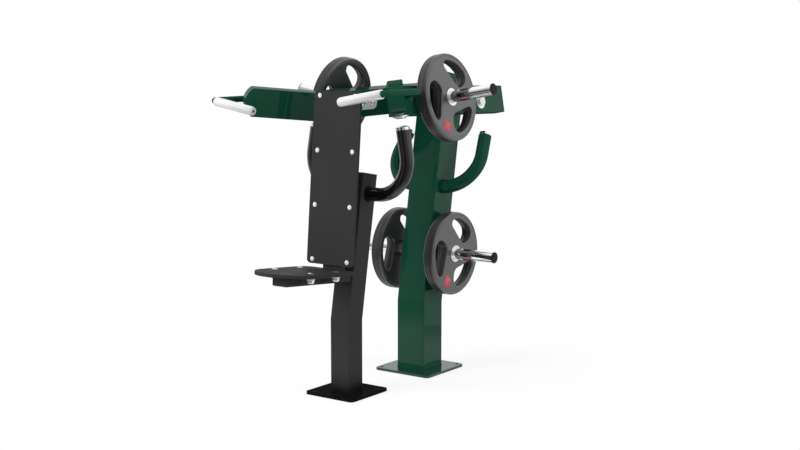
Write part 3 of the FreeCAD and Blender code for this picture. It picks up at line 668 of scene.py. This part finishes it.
def make_powder_coat(name, colour, edge_colour, roughness, coat, coat_roughness, specular=0.0, foot=0.0):
    """Sprayed and baked paint under a clear coat, with lighter edges (wear, and a painted highlight where the edge
    colour is much lighter) and, on a post, painted shade darkening its foot.
    """
    material, tree, shader = new_material(name, specular=specular, coat=coat, coat_roughness=coat_roughness)
    tone = drift_tone(tree, colour, scale=2.5, amount=0.03)
    edge_look = {"Colour": tone, "Edge Colour": edge_colour, "Amount": 0.2}
    paint = put_group(tree, edge_wear_and_highlight, edge_look).outputs["Colour"]
    # Painted shade: the paint darkens towards the foot, where asked
    if foot:
        painted_shade = {"Colour": paint, "Shade Colour": painted_shade_tone, "Amount": foot}
        paint = put_group(tree, foot_painted_shade, painted_shade).outputs["Colour"]
    feed(tree, shader.inputs["Base Color"], paint)
    feed(tree, shader.inputs["Roughness"], drift_gloss(tree, roughness, scale=6.0, amount=0.03))
    set_grain(tree, shader, scale=260.0, coarse_share=0.6, strength=0.012)
    return material


def make_green_coat(name, coat, coat_roughness=0.03):
    """Green paint of the main stand, under more or less clear coat."""
    return make_powder_coat(
        name, green_tone, worn_green_tone, roughness=0.4, coat=coat, coat_roughness=coat_roughness
    )


def make_black_coat(name, colour, edge_colour, coat, foot=0.0):
    """Black paint of the seat stand, under a thin clear coat."""
    return make_powder_coat(
        name, colour, edge_colour, roughness=0.45, coat=coat, coat_roughness=0.06, foot=foot
    )


def make_weld_coat(name, colour):
    """Dull paint over a weld, with no lighter edges."""
    return make_powder_coat(name, colour, colour, roughness=0.6, coat=0.06, coat_roughness=0.3)


def make_board_finish():
    """Dense dark board with a fine matte texture."""
    material, tree, shader = new_material("panel_board", specular=0.03)
    tone = drift_tone(tree, (0.043, 0.043, 0.0435, 1), scale=4.0, amount=0.04)
    gloss = drift_gloss(tree, roughness=0.52, scale=14.0, amount=0.06)
    dust = {"Colour": tone, "Roughness": gloss, "Dust Colour": dust_tone, "Amount": 0.03}
    dusty = put_group(tree, settled_dust, dust)
    feed(tree, shader.inputs["Base Color"], dusty.outputs["Colour"])
    feed(tree, shader.inputs["Roughness"], dusty.outputs["Roughness"])
    set_grain(tree, shader, scale=950.0, coarse_share=0.35, strength=0.08)
    return material


def make_metal(name, colour, roughness, drift, metallic=1.0):
    """Bare metal with faint handling marks."""
    material, tree, shader = new_material(name, metallic=metallic)
    feed(tree, shader.inputs["Base Color"], drift_tone(tree, colour, scale=30.0, amount=0.02))
    feed(tree, shader.inputs["Roughness"], drift_gloss(tree, roughness, scale=40.0, amount=drift))
    return material


def make_moulded(name, colour, roughness, grain, strength, **values):
    """Moulded rubber or plastic with a fine grain."""
    material, tree, shader = new_material(name, **values)
    feed(tree, shader.inputs["Base Color"], drift_tone(tree, colour, scale=11.0, amount=0.08))
    feed(tree, shader.inputs["Roughness"], drift_gloss(tree, roughness, scale=18.0, amount=0.07))
    set_grain(tree, shader, scale=grain, coarse_share=0.4, strength=strength)
    return material


def make_disc_rubber(name, colour, roughness, **values):
    """Rubber of the discs, alike in grain on faces and walls."""
    return make_moulded(name, colour, roughness, grain=620.0, strength=0.08, **values)


# The finishes of the record's material slots
finishes = {
    "green_paint": make_green_coat("green_powder_coat", coat=0.5),
    "black_paint": make_black_coat(
        "black_powder_coat", (0.047, 0.047, 0.0475, 1), (0.055, 0.055, 0.056, 1), coat=0.08
    ),
    "panel_board": make_board_finish(),
    "steel": make_metal("bright_steel", (0.95, 0.95, 0.945, 1), roughness=0.3, drift=0.04),
    "chrome": make_metal("polished_chrome", (0.95, 0.95, 0.95, 1), roughness=0.07, drift=0.015),
    "black_plastic": make_moulded(
        "end_plug_plastic", (0.01, 0.01, 0.0105, 1), roughness=0.46, grain=800.0, strength=0.1, specular=0.12
    ),
    "disc_rubber": make_disc_rubber(
        "disc_rubber", (0.024, 0.024, 0.024, 1), roughness=0.34, specular=1.0, coat=0.7, coat_roughness=0.3
    ),
}

# Finishes of single pieces
disc_edge_finish = make_disc_rubber(
    "disc_edge_rubber", (0.042, 0.042, 0.042, 1), roughness=0.4, specular=0.3, coat=0.2, coat_roughness=0.25
)
green_arm_finish = make_green_coat("green_arm_coat", coat=0.36)
green_plate_finish = make_green_coat("green_plate_coat", coat=0.9)
green_tube_finish = make_green_coat("green_tube_coat", coat=0.2, coat_roughness=0.04)
green_weld_finish = make_weld_coat("green_weld_coat", green_tone)
black_weld_finish = make_weld_coat("black_weld_coat", dark_tone)
# The black plate's edge colour is far lighter than its paint: a painted highlight along the plate's edges
black_plate_finish = make_black_coat("black_plate_coat", dark_tone, (0.16, 0.16, 0.162, 1), coat=0.02)
# The seat post's paint gets painted shade, darker towards its foot
black_post_finish = make_black_coat(
    "black_post_coat", (0.05, 0.05, 0.0505, 1), (0.058, 0.058, 0.059, 1), coat=0.08, foot=0.92
)
stop_tube_finish = make_powder_coat(
    "black_gloss_coat",
    (0.005, 0.005, 0.0052, 1),
    (0.02, 0.02, 0.0205, 1),
    roughness=0.35,
    coat=1.0,
    coat_roughness=0.05,
    specular=0.2,
)
grip_finish = make_metal("satin_grip", satin_tone, roughness=0.36, drift=0.02, metallic=0.45)
bolt_finish = make_metal("bolt_zinc", satin_tone, roughness=0.34, drift=0.03, metallic=0.12)
polished_finish = make_metal("polished_steel", polished_tone, roughness=0.07, drift=0.02)
bumper_finish = make_metal("bumper_steel", polished_tone, roughness=0.1, drift=0.02, metallic=0.45)
patch_finish = make_moulded(
    "red_patch", (0.71, 0.117, 0.128, 1), roughness=0.45, grain=900.0, strength=0.08, specular=0.4
)


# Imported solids


def own_finishes():
    """Finishes of the nodes that don't take their slot's."""
    chosen = {
        "main_base_plate": green_plate_finish,
        "seat_base_plate": black_plate_finish,
        "seat_post": black_post_finish,
        "front_stop_tubes": stop_tube_finish,
        "rear_stop_tubes": green_tube_finish,
        "backrest_bolts": bolt_finish,
        "front_stop_caps": polished_finish,
        "rear_stop_caps": polished_finish,
        "pivot_caps": polished_finish,
    }
    for side in sides:
        chosen[side + "_arm_tube"] = green_arm_finish
        chosen[side + "_grip_retainer"] = grip_finish
        chosen[side + "_arm_horn_plate"] = bolt_finish
        chosen[side + "_arm_bumper"] = bumper_finish
        chosen[side + "_arm_horn_bolts"] = polished_finish
    return chosen


def dress_solids():
    """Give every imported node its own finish, or else the finish of its material slot."""
    chosen = own_finishes()
    for part in frame["record"]["subparts"]:
        slots = nodes[part["node"]].data.materials
        slots.clear()
        slots.append(chosen.get(part["node"], finishes[part["material_slot"]]))


def soften(node, width, steps=fine_edge_steps):
    """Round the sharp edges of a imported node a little, so that they catch the light."""
    thing = nodes[node]
    joined = thing.modifiers.new("joined_corners", "WELD")
    joined.merge_threshold = corner_gap
    plain = thing.modifiers.new("plain_faces", "DECIMATE")
    plain.decimate_type = "DISSOLVE"
    plain.angle_limit = flat_angle
    rounded = thing.modifiers.new("rounded_edges", "BEVEL")
    rounded.width = width
    rounded.segments = steps
    rounded.limit_method = "ANGLE"
    rounded.angle_limit = rounded_edge_angle
    rounded.harden_normals = True
    even_shading(thing)


def soften_solids():
    """Rounded edges on the plates, tubes and boards."""
    for node in ("seat_base_plate", "main_base_plate", "backrest_panel", "seat_board"):
        soften(node, broad_edge, broad_edge_steps)
    for node in ("seat_post_cap", "main_post_cap", "seat_straps", "backrest_straps", "backrest_brackets"):
        soften(node, strap_edge)
    for node in ("seat_support", "backrest_spine"):
        soften(node, beam_edge)
    for side in sides:
        soften(side + "_arm_tube", arm_edge)
        soften(side + "_arm_horn_plate", horn_plate_edge)
        soften(side + "_arm_horn_cap", broad_edge, broad_edge_steps)


# Discs


def tip_half(grow):
    """Outline of a hand opening, grown a little: from its chord round the narrow tip to mid arc."""
    reach = opening_outer - opening_tip_radius
    angle = math.acos((opening_chord + opening_tip_radius) / reach) - opening_chord_lean
    first = math.pi - opening_chord_lean
    points = [((opening_chord - grow) / math.cos(opening_chord_lean), 0.0)]
    points += arc_points(polar(reach, angle), opening_tip_radius + grow, first, angle, tip_steps)
    points += arc_points((0.0, 0.0), opening_outer + grow, angle, 0.0, tip_arc_steps)[1:]
    return points


def wide_half(grow):
    """Outline of a hand opening, grown a little: from mid arc round the wide end towards its chord."""
    reach = opening_outer - opening_shoulder_radius
    angle = math.asin(opening_shoulder_radius / reach) - opening_wall_angle
    wall = -math.pi / 2 - opening_wall_angle
    last = -math.pi - opening_chord_lean
    skew = opening_wall_angle - opening_chord_lean
    along = (opening_chord + opening_heel_radius * (1 - math.sin(skew))) / math.cos(skew)
    heel = turn_point((along, opening_heel_radius), -opening_wall_angle)
    points = arc_points((0.0, 0.0), opening_outer + grow, 0.0, angle, wide_arc_steps)[1:-1]
    points += arc_points(polar(reach, angle), opening_shoulder_radius + grow, angle, wall, shoulder_steps)
    points += arc_points(heel, opening_heel_radius + grow, wall, last, heel_steps)
    return points


def opening_outline(grow):
    """Whole outline of a hand opening about the first axis."""
    return tip_half(grow) + wide_half(grow)


def quarter_round(start, reach, steps):
    """Steps along a rounded edge, outward from its start or inward: how far out, and how far down."""
    turns = quarter_turns(steps)
    return [(start + reach * math.sin(turn), abs(reach) * (1 - math.cos(turn))) for turn in turns]


def groove_steps(middle):
    """Steps across a fine groove: how far along, and how deep."""
    return [
        (middle - disc_groove_width, 0.0),
        (middle - disc_groove_width / 2, disc_groove_depth),
        (middle + disc_groove_width / 2, disc_groove_depth),
        (middle + disc_groove_width, 0.0),
    ]


def both_faces(profile, thickness):
    """Profile from the top face to the middle, and back from the middle to the other face."""
    upper = [(reach, thickness / 2 - drop) for reach, drop in profile]
    return upper + [(reach, -height) for reach, height in reversed(upper)]


def rim_lip(radius):
    """Edge of a disc's face: a fine groove and the rounded lip."""
    lip = quarter_round(radius - disc_rim_round, disc_rim_round, rim_round_steps)
    return groove_steps(radius - disc_groove_inset) + lip


def rim_wall(radius):
    """Rim of a disc under its lip, with a fine groove."""
    return [(radius - depth, drop) for drop, depth in groove_steps(rim_groove_drop)]


def opening_lip():
    """Rounded edge of a hand opening."""
    return quarter_round(opening_round, -opening_round, opening_round_steps)


def finger_wall(thickness):
    """Wall of a hand opening under its lip: a shallow groove and the bulge that fingers close round."""
    return [(out, opening_round + share * thickness / 2) for out, share in opening_wall]


def hub_lip(bore):
    """Rounded edge of a disc round its hub."""
    return quarter_round(bore + disc_hub_round, -disc_hub_round, hub_round_steps)


def rim_circle(radius):
    """Outline of a disc's rim."""
    return circle_points(radius, opening_count * rim_steps)


def hub_circle(radius):
    """Outline of a disc round its hub."""
    return circle_points(radius, opening_count * hub_steps)


def add_wall(builder, half_profile, thickness, outline, angle):
    """Rings of a disc's wall from face to face, each an outline of its own reach turned by an angle."""
    profile = both_faces(half_profile, thickness)
    return [add_loop(builder, turn_points(outline(reach), angle), height) for reach, height in profile]


def bridge_wall(builder, loops, lip_rows):
    """Faces of a disc's wall, with its lips in the finish of the disc's faces."""
    bridge(builder, loops[:lip_rows])
    bridge(builder, loops[lip_rows - 1:1 - lip_rows], 1)
    bridge(builder, loops[-lip_rows:])


def close_face(builder, rim, hub, openings):
    """Flat face of a disc, in one piece from the middle of each opening to the middle of the next."""
    middle = len(tip_half(0.0)) - 1
    for number, opening in enumerate(openings):
        after = openings[(number + 1) % opening_count]
        rim_span = [rim[(number * rim_steps + step) % len(rim)] for step in range(rim_steps + 1)]
        hub_span = [hub[(number * hub_steps + step) % len(hub)] for step in range(hub_steps + 1)]
        lower_side = after[middle:] + after[:1]
        upper_side = opening[:middle + 1]
        builder.faces.new(rim_span + lower_side + hub_span[::-1] + upper_side)


def disc_mesh(radius, bore, thickness):
    """Disc about its Z axis, with a grooved, rounded rim and rounded hand openings."""
    builder = bmesh.new()
    share = 2 * math.pi / opening_count
    rim_half = rim_lip(radius) + rim_wall(radius)
    opening_half = opening_lip() + finger_wall(thickness)
    rim = add_wall(builder, rim_half, thickness, rim_circle, opening_first_angle)
    hub = add_wall(builder, hub_lip(bore), thickness, hub_circle, opening_first_angle)
    openings = []
    for number in range(opening_count):
        angle = opening_first_angle + number * share
        openings.append(add_wall(builder, opening_half, thickness, opening_outline, angle))
    bridge(builder, hub)
    bridge_wall(builder, rim, len(rim_lip(radius)))
    for walls in openings:
        bridge_wall(builder, walls, len(opening_lip()))
    for level in (0, -1):
        close_face(builder, rim[level], hub[level], [walls[level] for walls in openings])
    return mesh_from("disc", builder)


def disc_place(body):
    """Matrix that stands a disc drawn about Z on its horn, first axis along +Y and top face to +X."""
    axis = joint_axis(body)
    up = (Vector((0, 0, 1)) - axis * axis.z).normalized()
    turn = Matrix((Vector((0, 1, 0)), up, axis)).transposed().to_4x4()
    return Matrix.Translation(box_middle(body + "_hub")) @ turn


def patch_mesh(outward):
    """Bare patch with rounded corners, just proud of the disc's face."""
    builder = bmesh.new()
    bmesh.ops.create_cube(builder, size=1.0)
    bmesh.ops.scale(builder, vec=(patch_height, patch_width, 2 * patch_proud), verts=builder.verts)
    heights = {edge: abs(edge.verts[0].co.z - edge.verts[1].co.z) for edge in builder.edges}
    upright = [edge for edge, height in heights.items() if height > patch_proud]
    bmesh.ops.bevel(
        builder,
        geom=upright,
        offset=patch_corner,
        segments=patch_corner_steps,
        affect="EDGES",
        profile=0.5,
        clamp_overlap=True,
    )
    turn = Matrix.Rotation(patch_angle, 4, "Z")
    shift = Matrix.Translation((patch_radius, 0, outward))
    bmesh.ops.transform(builder, matrix=turn @ shift, verts=builder.verts)
    return mesh_from("patch", builder)


def build_discs():
    """Rubber discs with their patches."""
    thickness = box_size("right_stored_disc").x
    radius = box_size("right_stored_disc").z / 2 - disc_tuck
    bore = box_size("right_stored_disc_hub").z / 2
    rubber = disc_mesh(radius, bore, thickness)
    rubber.materials.append(finishes["disc_rubber"])
    rubber.materials.append(disc_edge_finish)
    for side in sides:
        patch = patch_mesh(thickness / 2 if side == "right" else -thickness / 2)
        patch.materials.append(patch_finish)
        for where in ("arm", "stored"):
            body = f"{side}_{where}_disc"
            place = disc_place(body)
            disc = add_object(body + "_rubber", rubber.copy())
            disc.data.transform(place)
            even_shading(disc)
            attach(disc, body)
            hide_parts(body)
            mark = add_object(body + "_patch", patch.copy())
            mark.data.transform(place)
            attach(mark, body)


# Small fittings, and dark pieces of painted shade in sockets and holes


def build_seat_nuts():
    """Six-sided cap nuts under the seat, drawn in towards their ends."""
    builder = bmesh.new()
    points = place_points("seat_nuts")
    middle = middle_of(points)
    tilt = Vector((0, math.sin(seat_slope), math.cos(seat_slope)))
    for right in (False, True):
        for rear in (False, True):
            own = [p for p in points if (p.x > middle.x) == right and (p.y > middle.y) == rear]
            back = max(p.y for p in own) - seat_nut_radius * tilt.z
            top = max(p.z for p in own) - seat_nut_radius * tilt.y
            add_turned(builder, seat_nut_rings, stand_on((middle_of(own).x, back, top), -tilt))
    nuts = add_piece("seat_cap_nuts", builder, "frame", "steel", bumper_finish)
    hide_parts("seat_nuts")


def build_pivot_covers():
    """Plain bright covers on the ends of the pivots."""
    points = place_points("pivot_caps")
    for side in sides:
        axis = outward_axis(side)
        own = [p for p in points if (p.x > 0) == (side == "right")]
        builder = bmesh.new()
        add_turned(builder, pivot_cover_rings, stand_on(end_spot(own, axis), axis))
        add_piece(side + "_pivot_cover", builder, "frame", "steel", bolt_finish)


def build_retainer_socket_shades():
    """Painted shade: dark discs filling the sockets in the free ends of the grips, standing in for the shade
    inside them.
    """
    for side in sides:
        inward = -outward_axis(side)
        spot = end_spot(place_points(side + "_grip_retainer"), inward)
        builder = bmesh.new()
        add_turned(builder, retainer_socket_shade_rings, stand_on(spot, inward))
        add_piece(side + "_retainer_socket_shade", builder, side + "_arm", "black_plastic")


def build_anchor_hole_shade():
    """Painted shade: dark discs set just under the top of the anchor holes, standing in for the shade inside them.
    """
    for name in ("seat", "main"):
        mount = mount_of(name + "_anchor")
        half = mount["dims"]["spacing_x_mm"] * millimetre / 2
        builder = bmesh.new()
        for across in (-half, half):
            for along in (-half, half):
                spot = Vector(mount["pos_m"]) + Vector((across, along, 0))
                add_turned(builder, anchor_hole_shade_rings, Matrix.Translation(spot), anchor_hole_shade_steps)
        add_piece(name + "_anchor_hole_shade", builder, "frame", "black_plastic")


# Welds


def even_loop(points, gap):
    """Closed line of points at an even gap, and its length."""
    closed = list(points) + [points[0]]
    runs = [(b - a).length for a, b in zip(closed, closed[1:])]
    total = sum(runs)
    count = max(weld_least_steps, round(total / gap))
    placed, run, walked = [], 0, 0.0
    for number in range(count):
        want = total * number / count
        while walked + runs[run] < want:
            walked += runs[run]
            run += 1
        placed.append(closed[run].lerp(closed[run + 1], (want - walked) / runs[run]))
    return placed, total


def add_bead(builder, outline, normal):
    """Lightly rippled weld bead along a closed line on a flat face."""
    points, length = even_loop(outline, weld_step)
    ripples = round(length / weld_pitch)
    count = len(points)
    loops = []
    for number, point in enumerate(points):
        ahead = (points[(number + 1) % count] - points[number - 1]).normalized()
        radius = weld_radius * (1 + weld_swell * math.sin(2 * math.pi * ripples * number / count))
        loops.append(add_ring(builder, point, ahead.cross(normal), normal, radius, weld_sides))
    bridge(builder, loops + [loops[0]])


def round_line(middle, normal, radius):
    """Circle on a face."""
    place = stand_on(middle, normal)
    return [place @ Vector((x, y, 0)) for x, y in circle_points(radius, weld_circle_steps)]


def square_line(middle, half):
    """Rounded square on a level face."""
    inner = half - post_corner
    points = []
    for turn, (across, along) in enumerate(((1, 1), (-1, 1), (-1, -1), (1, -1))):
        first = turn * math.pi / 2
        corner = (middle.x + across * inner, middle.y + along * inner)
        points += arc_points(corner, post_corner, first, first + math.pi / 2, post_corner_steps)
    return [Vector((x, y, middle.z)) for x, y in points]


def section_middle(node, where):
    """Middle and half height of a node where it meets a post's side face."""
    points = [point for point in place_points(node) if abs(point.x - where) < post_face_margin]
    middle = middle_of(points)
    return middle, max(abs(point.z - middle.z) for point in points)


def weld_post(name, half, slot, finish):
    """Bead where a post meets its plate."""
    plate = name + "_base_plate"
    up = Vector((0, 0, 1))
    builder = bmesh.new()
    add_bead(builder, square_line(box_middle(plate) + up * box_size(plate).z / 2, half), up)
    add_piece(name + "_post_weld", builder, "frame", slot, finish)


def weld_roots(node, half, slot, finish):
    """Beads where the pieces of a node meet the two side faces of a post."""
    builder = bmesh.new()
    for where in (half, -half):
        middle, radius = section_middle(node, where)
        normal = Vector((1 if where > 0 else -1, 0, 0))
        add_bead(builder, round_line(middle, normal, radius), normal)
    add_piece(node + "_welds", builder, "frame", slot, finish)


def build_welds():
    """Beads where the posts meet their plates, and where tubes, bosses and horns meet the posts."""
    seat_weld = (box_size("seat_post").x / 2, "black_paint", black_weld_finish)
    main_weld = (box_size("main_post").x / 2, "green_paint", green_weld_finish)
    weld_post("seat", *seat_weld)
    weld_post("main", *main_weld)
    weld_roots("front_stop_tubes", *seat_weld)
    for node in ("rear_stop_tubes", "pivot_bosses", "storage_horns"):
        weld_roots(node, *main_weld)


# Handles


def handle_edge(side):
    """Front and back ends of an imported handle's outermost edge."""
    axis = outward_axis(side)
    points = place_points(side + "_handle")
    reach = max(point.dot(axis) for point in points)
    edge = [point for point in points if point.dot(axis) > reach - handle_edge_margin]
    return min(edge, key=lambda point: point.y), max(edge, key=lambda point: point.y)


def handle_root(side, along):
    """Middle of the inner end of an imported handle's rear leg, on the arm."""
    points = place_points(side + "_handle")
    rear = max(point.dot(along) for point in points)
    leg = [point for point in points if point.dot(along) > rear - handle_leg_depth]
    return end_spot(leg, -outward_axis(side))


def grip_line(side):
    """Free end of a grip, and the corner where its handle turns back."""
    axis = outward_axis(side)
    free = end_spot(place_points(side + "_grip"), -axis)
    front, _ = handle_edge(side)
    width = front.dot(axis) - free.dot(axis) - solid_handle_radius + handle_reach_more
    return free, free + axis * width


def bend_points(corner, into, out, radius):
    """Points round a bend of a handle's bar."""
    first, last = corner - into * radius, corner + out * radius
    centre = first + out * radius
    turns = quarter_turns(bend_steps)
    return [centre + (first - centre) * math.cos(turn) + (last - centre) * math.sin(turn) for turn in turns]


def add_bar(builder, points, radii, normal):
    """Round bar along a flat line, closed at both ends."""
    loops = []
    for number, point in enumerate(points):
        before, after = points[max(number - 1, 0)], points[min(number + 1, len(points) - 1)]
        across = (after - before).normalized().cross(normal)
        loops.append(add_ring(builder, point, across, normal, radii[number], bar_sides))
    close_ends(builder, loops)


def arm_shell(side):
    """Surface of an arm's tube, for finding the faces that pieces stand on."""
    faces = [face.vertices for face in nodes[side + "_arm_tube"].data.polygons]
    return BVHTree.FromPolygons(place_points(side + "_arm_tube"), faces)


def build_handle(side):
    """Bent bar with its spindle and weld, and a flush plug on the arm's inner face."""
    axis = outward_axis(side)
    front, back = handle_edge(side)
    along = (back - front).normalized()
    normal = axis.cross(along).normalized()
    free, corner = grip_line(side)
    root = handle_root(side, along)
    far_corner = corner + along * (root - corner).dot(along)
    shoulder = corner - axis * handle_bend
    spindle = [free, shoulder - axis * spindle_step]
    bar = bend_points(corner, axis, along, handle_bend)
    bar += bend_points(far_corner, along, -axis, handle_far_bend)
    bar.append(root - axis * handle_sink)
    radii = [spindle_radius] * len(spindle) + [handle_radius] * len(bar)
    builder = bmesh.new()
    add_bar(builder, spindle + bar, radii, normal)
    shell = arm_shell(side)
    outer, outer_normal, _, _ = shell.ray_cast(root + axis * outer_probe, -axis)
    add_bead(builder, round_line(outer, outer_normal, handle_radius), outer_normal)
    inner, inner_normal, _, _ = shell.ray_cast(root - axis * inner_probe, axis)
    level = inner_normal.cross(normal).normalized()
    level = level if level.y < 0 else -level
    add_turned(builder, arm_plug_rings, stand_on(inner + level * arm_plug_forward, inner_normal))
    handle = add_piece(side + "_handle_bar", builder, side + "_arm", "green_paint", green_tube_finish)
    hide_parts(side + "_handle")


def build_grip(side):
    """Bright sleeve on a handle's spindle, rounded at both mouths."""
    free, corner = grip_line(side)
    length = (corner - free).length - handle_bend - grip_end_gap
    rings = list(grip_rings) + [(radius, length - height) for radius, height in reversed(grip_rings)]
    builder = bmesh.new()
    loops = [add_loop(builder, circle_points(radius, grip_sides), height) for radius, height in rings]
    bridge(builder, loops + [loops[0]])
    bmesh.ops.transform(builder, matrix=stand_on(free, outward_axis(side)), verts=builder.verts)
    sleeve = add_piece(side + "_grip_sleeve", builder, side + "_grip", "steel", grip_finish)
    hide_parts(side + "_grip")


# Stage


def put_rays(tree):
    """Whether a ray comes straight from the camera, and whether a shiny or clear surface sent it on."""
    rays = put(tree, "LightPath").outputs
    bounced = put_maths(tree, "MAXIMUM", rays["Is Glossy Ray"], rays["Is Transmission Ray"])
    return rays["Is Camera Ray"], bounced


def make_floor_finish():
    """Pale matte floor that stays near white to the eye, and pale in reflections."""
    material, tree, shader = new_material("pale_floor", roughness=floor_roughness, specular=0.0)
    place = put(tree, "TexCoord").outputs["Object"]
    away = put(tree, "VectorMath", {0: place}, operation="LENGTH").outputs["Value"]
    edge = put_range(tree, away, floor_fade_span)
    feed(tree, shader.inputs["Base Color"], put_mix(tree, edge, floor_tone, black))
    straight, bounced = put_rays(tree)
    seen = put_product(tree, straight, put_range(tree, edge, whole_span, *floor_glow))
    mirrored = put_product(tree, bounced, put_range(tree, edge, whole_span, *floor_mirror_glow))
    shown = put_maths(tree, "MAXIMUM", seen, mirrored)
    glow = put(tree, "Emission", {"Color": white, "Strength": shown})
    both = put(tree, "AddShader", {0: shader.outputs["BSDF"], 1: glow.outputs["Emission"]})
    feed(tree, tree.nodes["Material Output"].inputs["Surface"], both.outputs["Shader"])
    return material


def make_floor():
    """Round pale floor that keeps a soft shadow."""
    builder = bmesh.new()
    bmesh.ops.create_circle(builder, cap_ends=True, radius=floor_radius, segments=floor_sides)
    mesh = mesh_from("floor", builder)
    floor = add_object("floor", mesh)
    floor.location = floor_place
    mesh.materials.append(make_floor_finish())


def put_strip(tree, around, middle, half_width):
    """Dark upright strip of the surroundings, with soft edges."""
    away = put_maths(tree, "ABSOLUTE", put_maths(tree, "SUBTRACT", around, middle))
    return put_range(tree, away, (half_width, half_width + strip_edge), strip_level)


def put_surroundings(tree):
    """Brightness of the surroundings in reflections: darker in front, below and in two upright strips."""
    direction = put(tree, "TexCoord").outputs["Generated"]
    parts = put(tree, "SeparateXYZ", {"Vector": direction}).outputs
    aim = put(tree, "VectorMath", {0: direction, 1: dark_front_aim}, operation="DOT_PRODUCT")
    front = put_range(tree, aim.outputs["Value"], dark_front_span, 1.0, dark_front_level)
    below = put_range(tree, parts["Z"], below_span, below_level)
    around = put_maths(tree, "ARCTAN2", parts["Y"], parts["X"])
    front_strip = put_strip(tree, around, front_strip_angle, front_strip_half)
    back_strip = put_strip(tree, around, back_strip_angle, back_strip_half)
    over_strip = put_range(tree, parts["Z"], back_strip_top_span)
    back_strip = put_maths(tree, "MAXIMUM", back_strip, over_strip)
    return put_product(tree, front, below, front_strip, back_strip)


def make_world():
    """White surroundings for the eye, shaded ones for reflections, and a soft even fill for the light."""
    world = bpy.data.worlds.new("studio")
    bpy.context.scene.world = world
    world.use_nodes = True
    tree = world.node_tree
    fill = tree.nodes["Background"]
    fill.inputs["Color"].default_value = white
    fill.inputs["Strength"].default_value = fill_strength
    mirror = put(tree, "Background", {"Color": white, "Strength": put_surroundings(tree)})
    plain = put(tree, "Background", {"Color": white, "Strength": 1.0})
    straight, bounced = put_rays(tree)
    backs = {"Fac": bounced, 1: fill.outputs["Background"], 2: mirror.outputs["Background"]}
    lit = put(tree, "MixShader", backs)
    backs = {"Fac": straight, 1: lit.outputs["Shader"], 2: plain.outputs["Background"]}
    seen = put(tree, "MixShader", backs)
    feed(tree, tree.nodes["World Output"].inputs["Surface"], seen.outputs["Shader"])


def add_softbox(name, place, size, power):
    """Large soft lamp aimed at the machine's middle, and not seen in reflections."""
    lamp = bpy.data.lights.new(name, "AREA")
    lamp.shape = "RECTANGLE"
    lamp.size, lamp.size_y = size
    lamp.energy = power
    thing = add_object(name, lamp)
    thing.location = place
    aim = (cad_box[0] + cad_box[1]) / 2 - Vector(place)
    thing.rotation_euler = aim.to_track_quat("-Z", "Y").to_euler()
    thing.visible_glossy = False


def make_lamps():
    """Key from the front left and above, and a lower fill from the right."""
    add_softbox("key", *key_lamp)
    add_softbox("side", *side_lamp)


def make_camera():
    """Camera at the photograph's view."""
    lens = bpy.data.cameras.new("view")
    lens.lens = camera_lens
    lens.sensor_width = camera_sensor
    lens.sensor_fit = "HORIZONTAL"
    lens.clip_end = camera_reach
    camera = add_object("view", lens)
    camera.location = camera_place
    camera.rotation_euler = camera_aim.to_track_quat("-Z", "Y").to_euler()
    bpy.context.scene.camera = camera


bpy.context.scene.view_settings.view_transform = "Standard"
dress_solids()
soften_solids()
build_discs()
build_seat_nuts()
build_pivot_covers()
build_retainer_socket_shades()
build_anchor_hole_shade()
build_welds()
for side in sides:
    build_handle(side)
    build_grip(side)
make_floor()
make_world()
make_lamps()
make_camera()
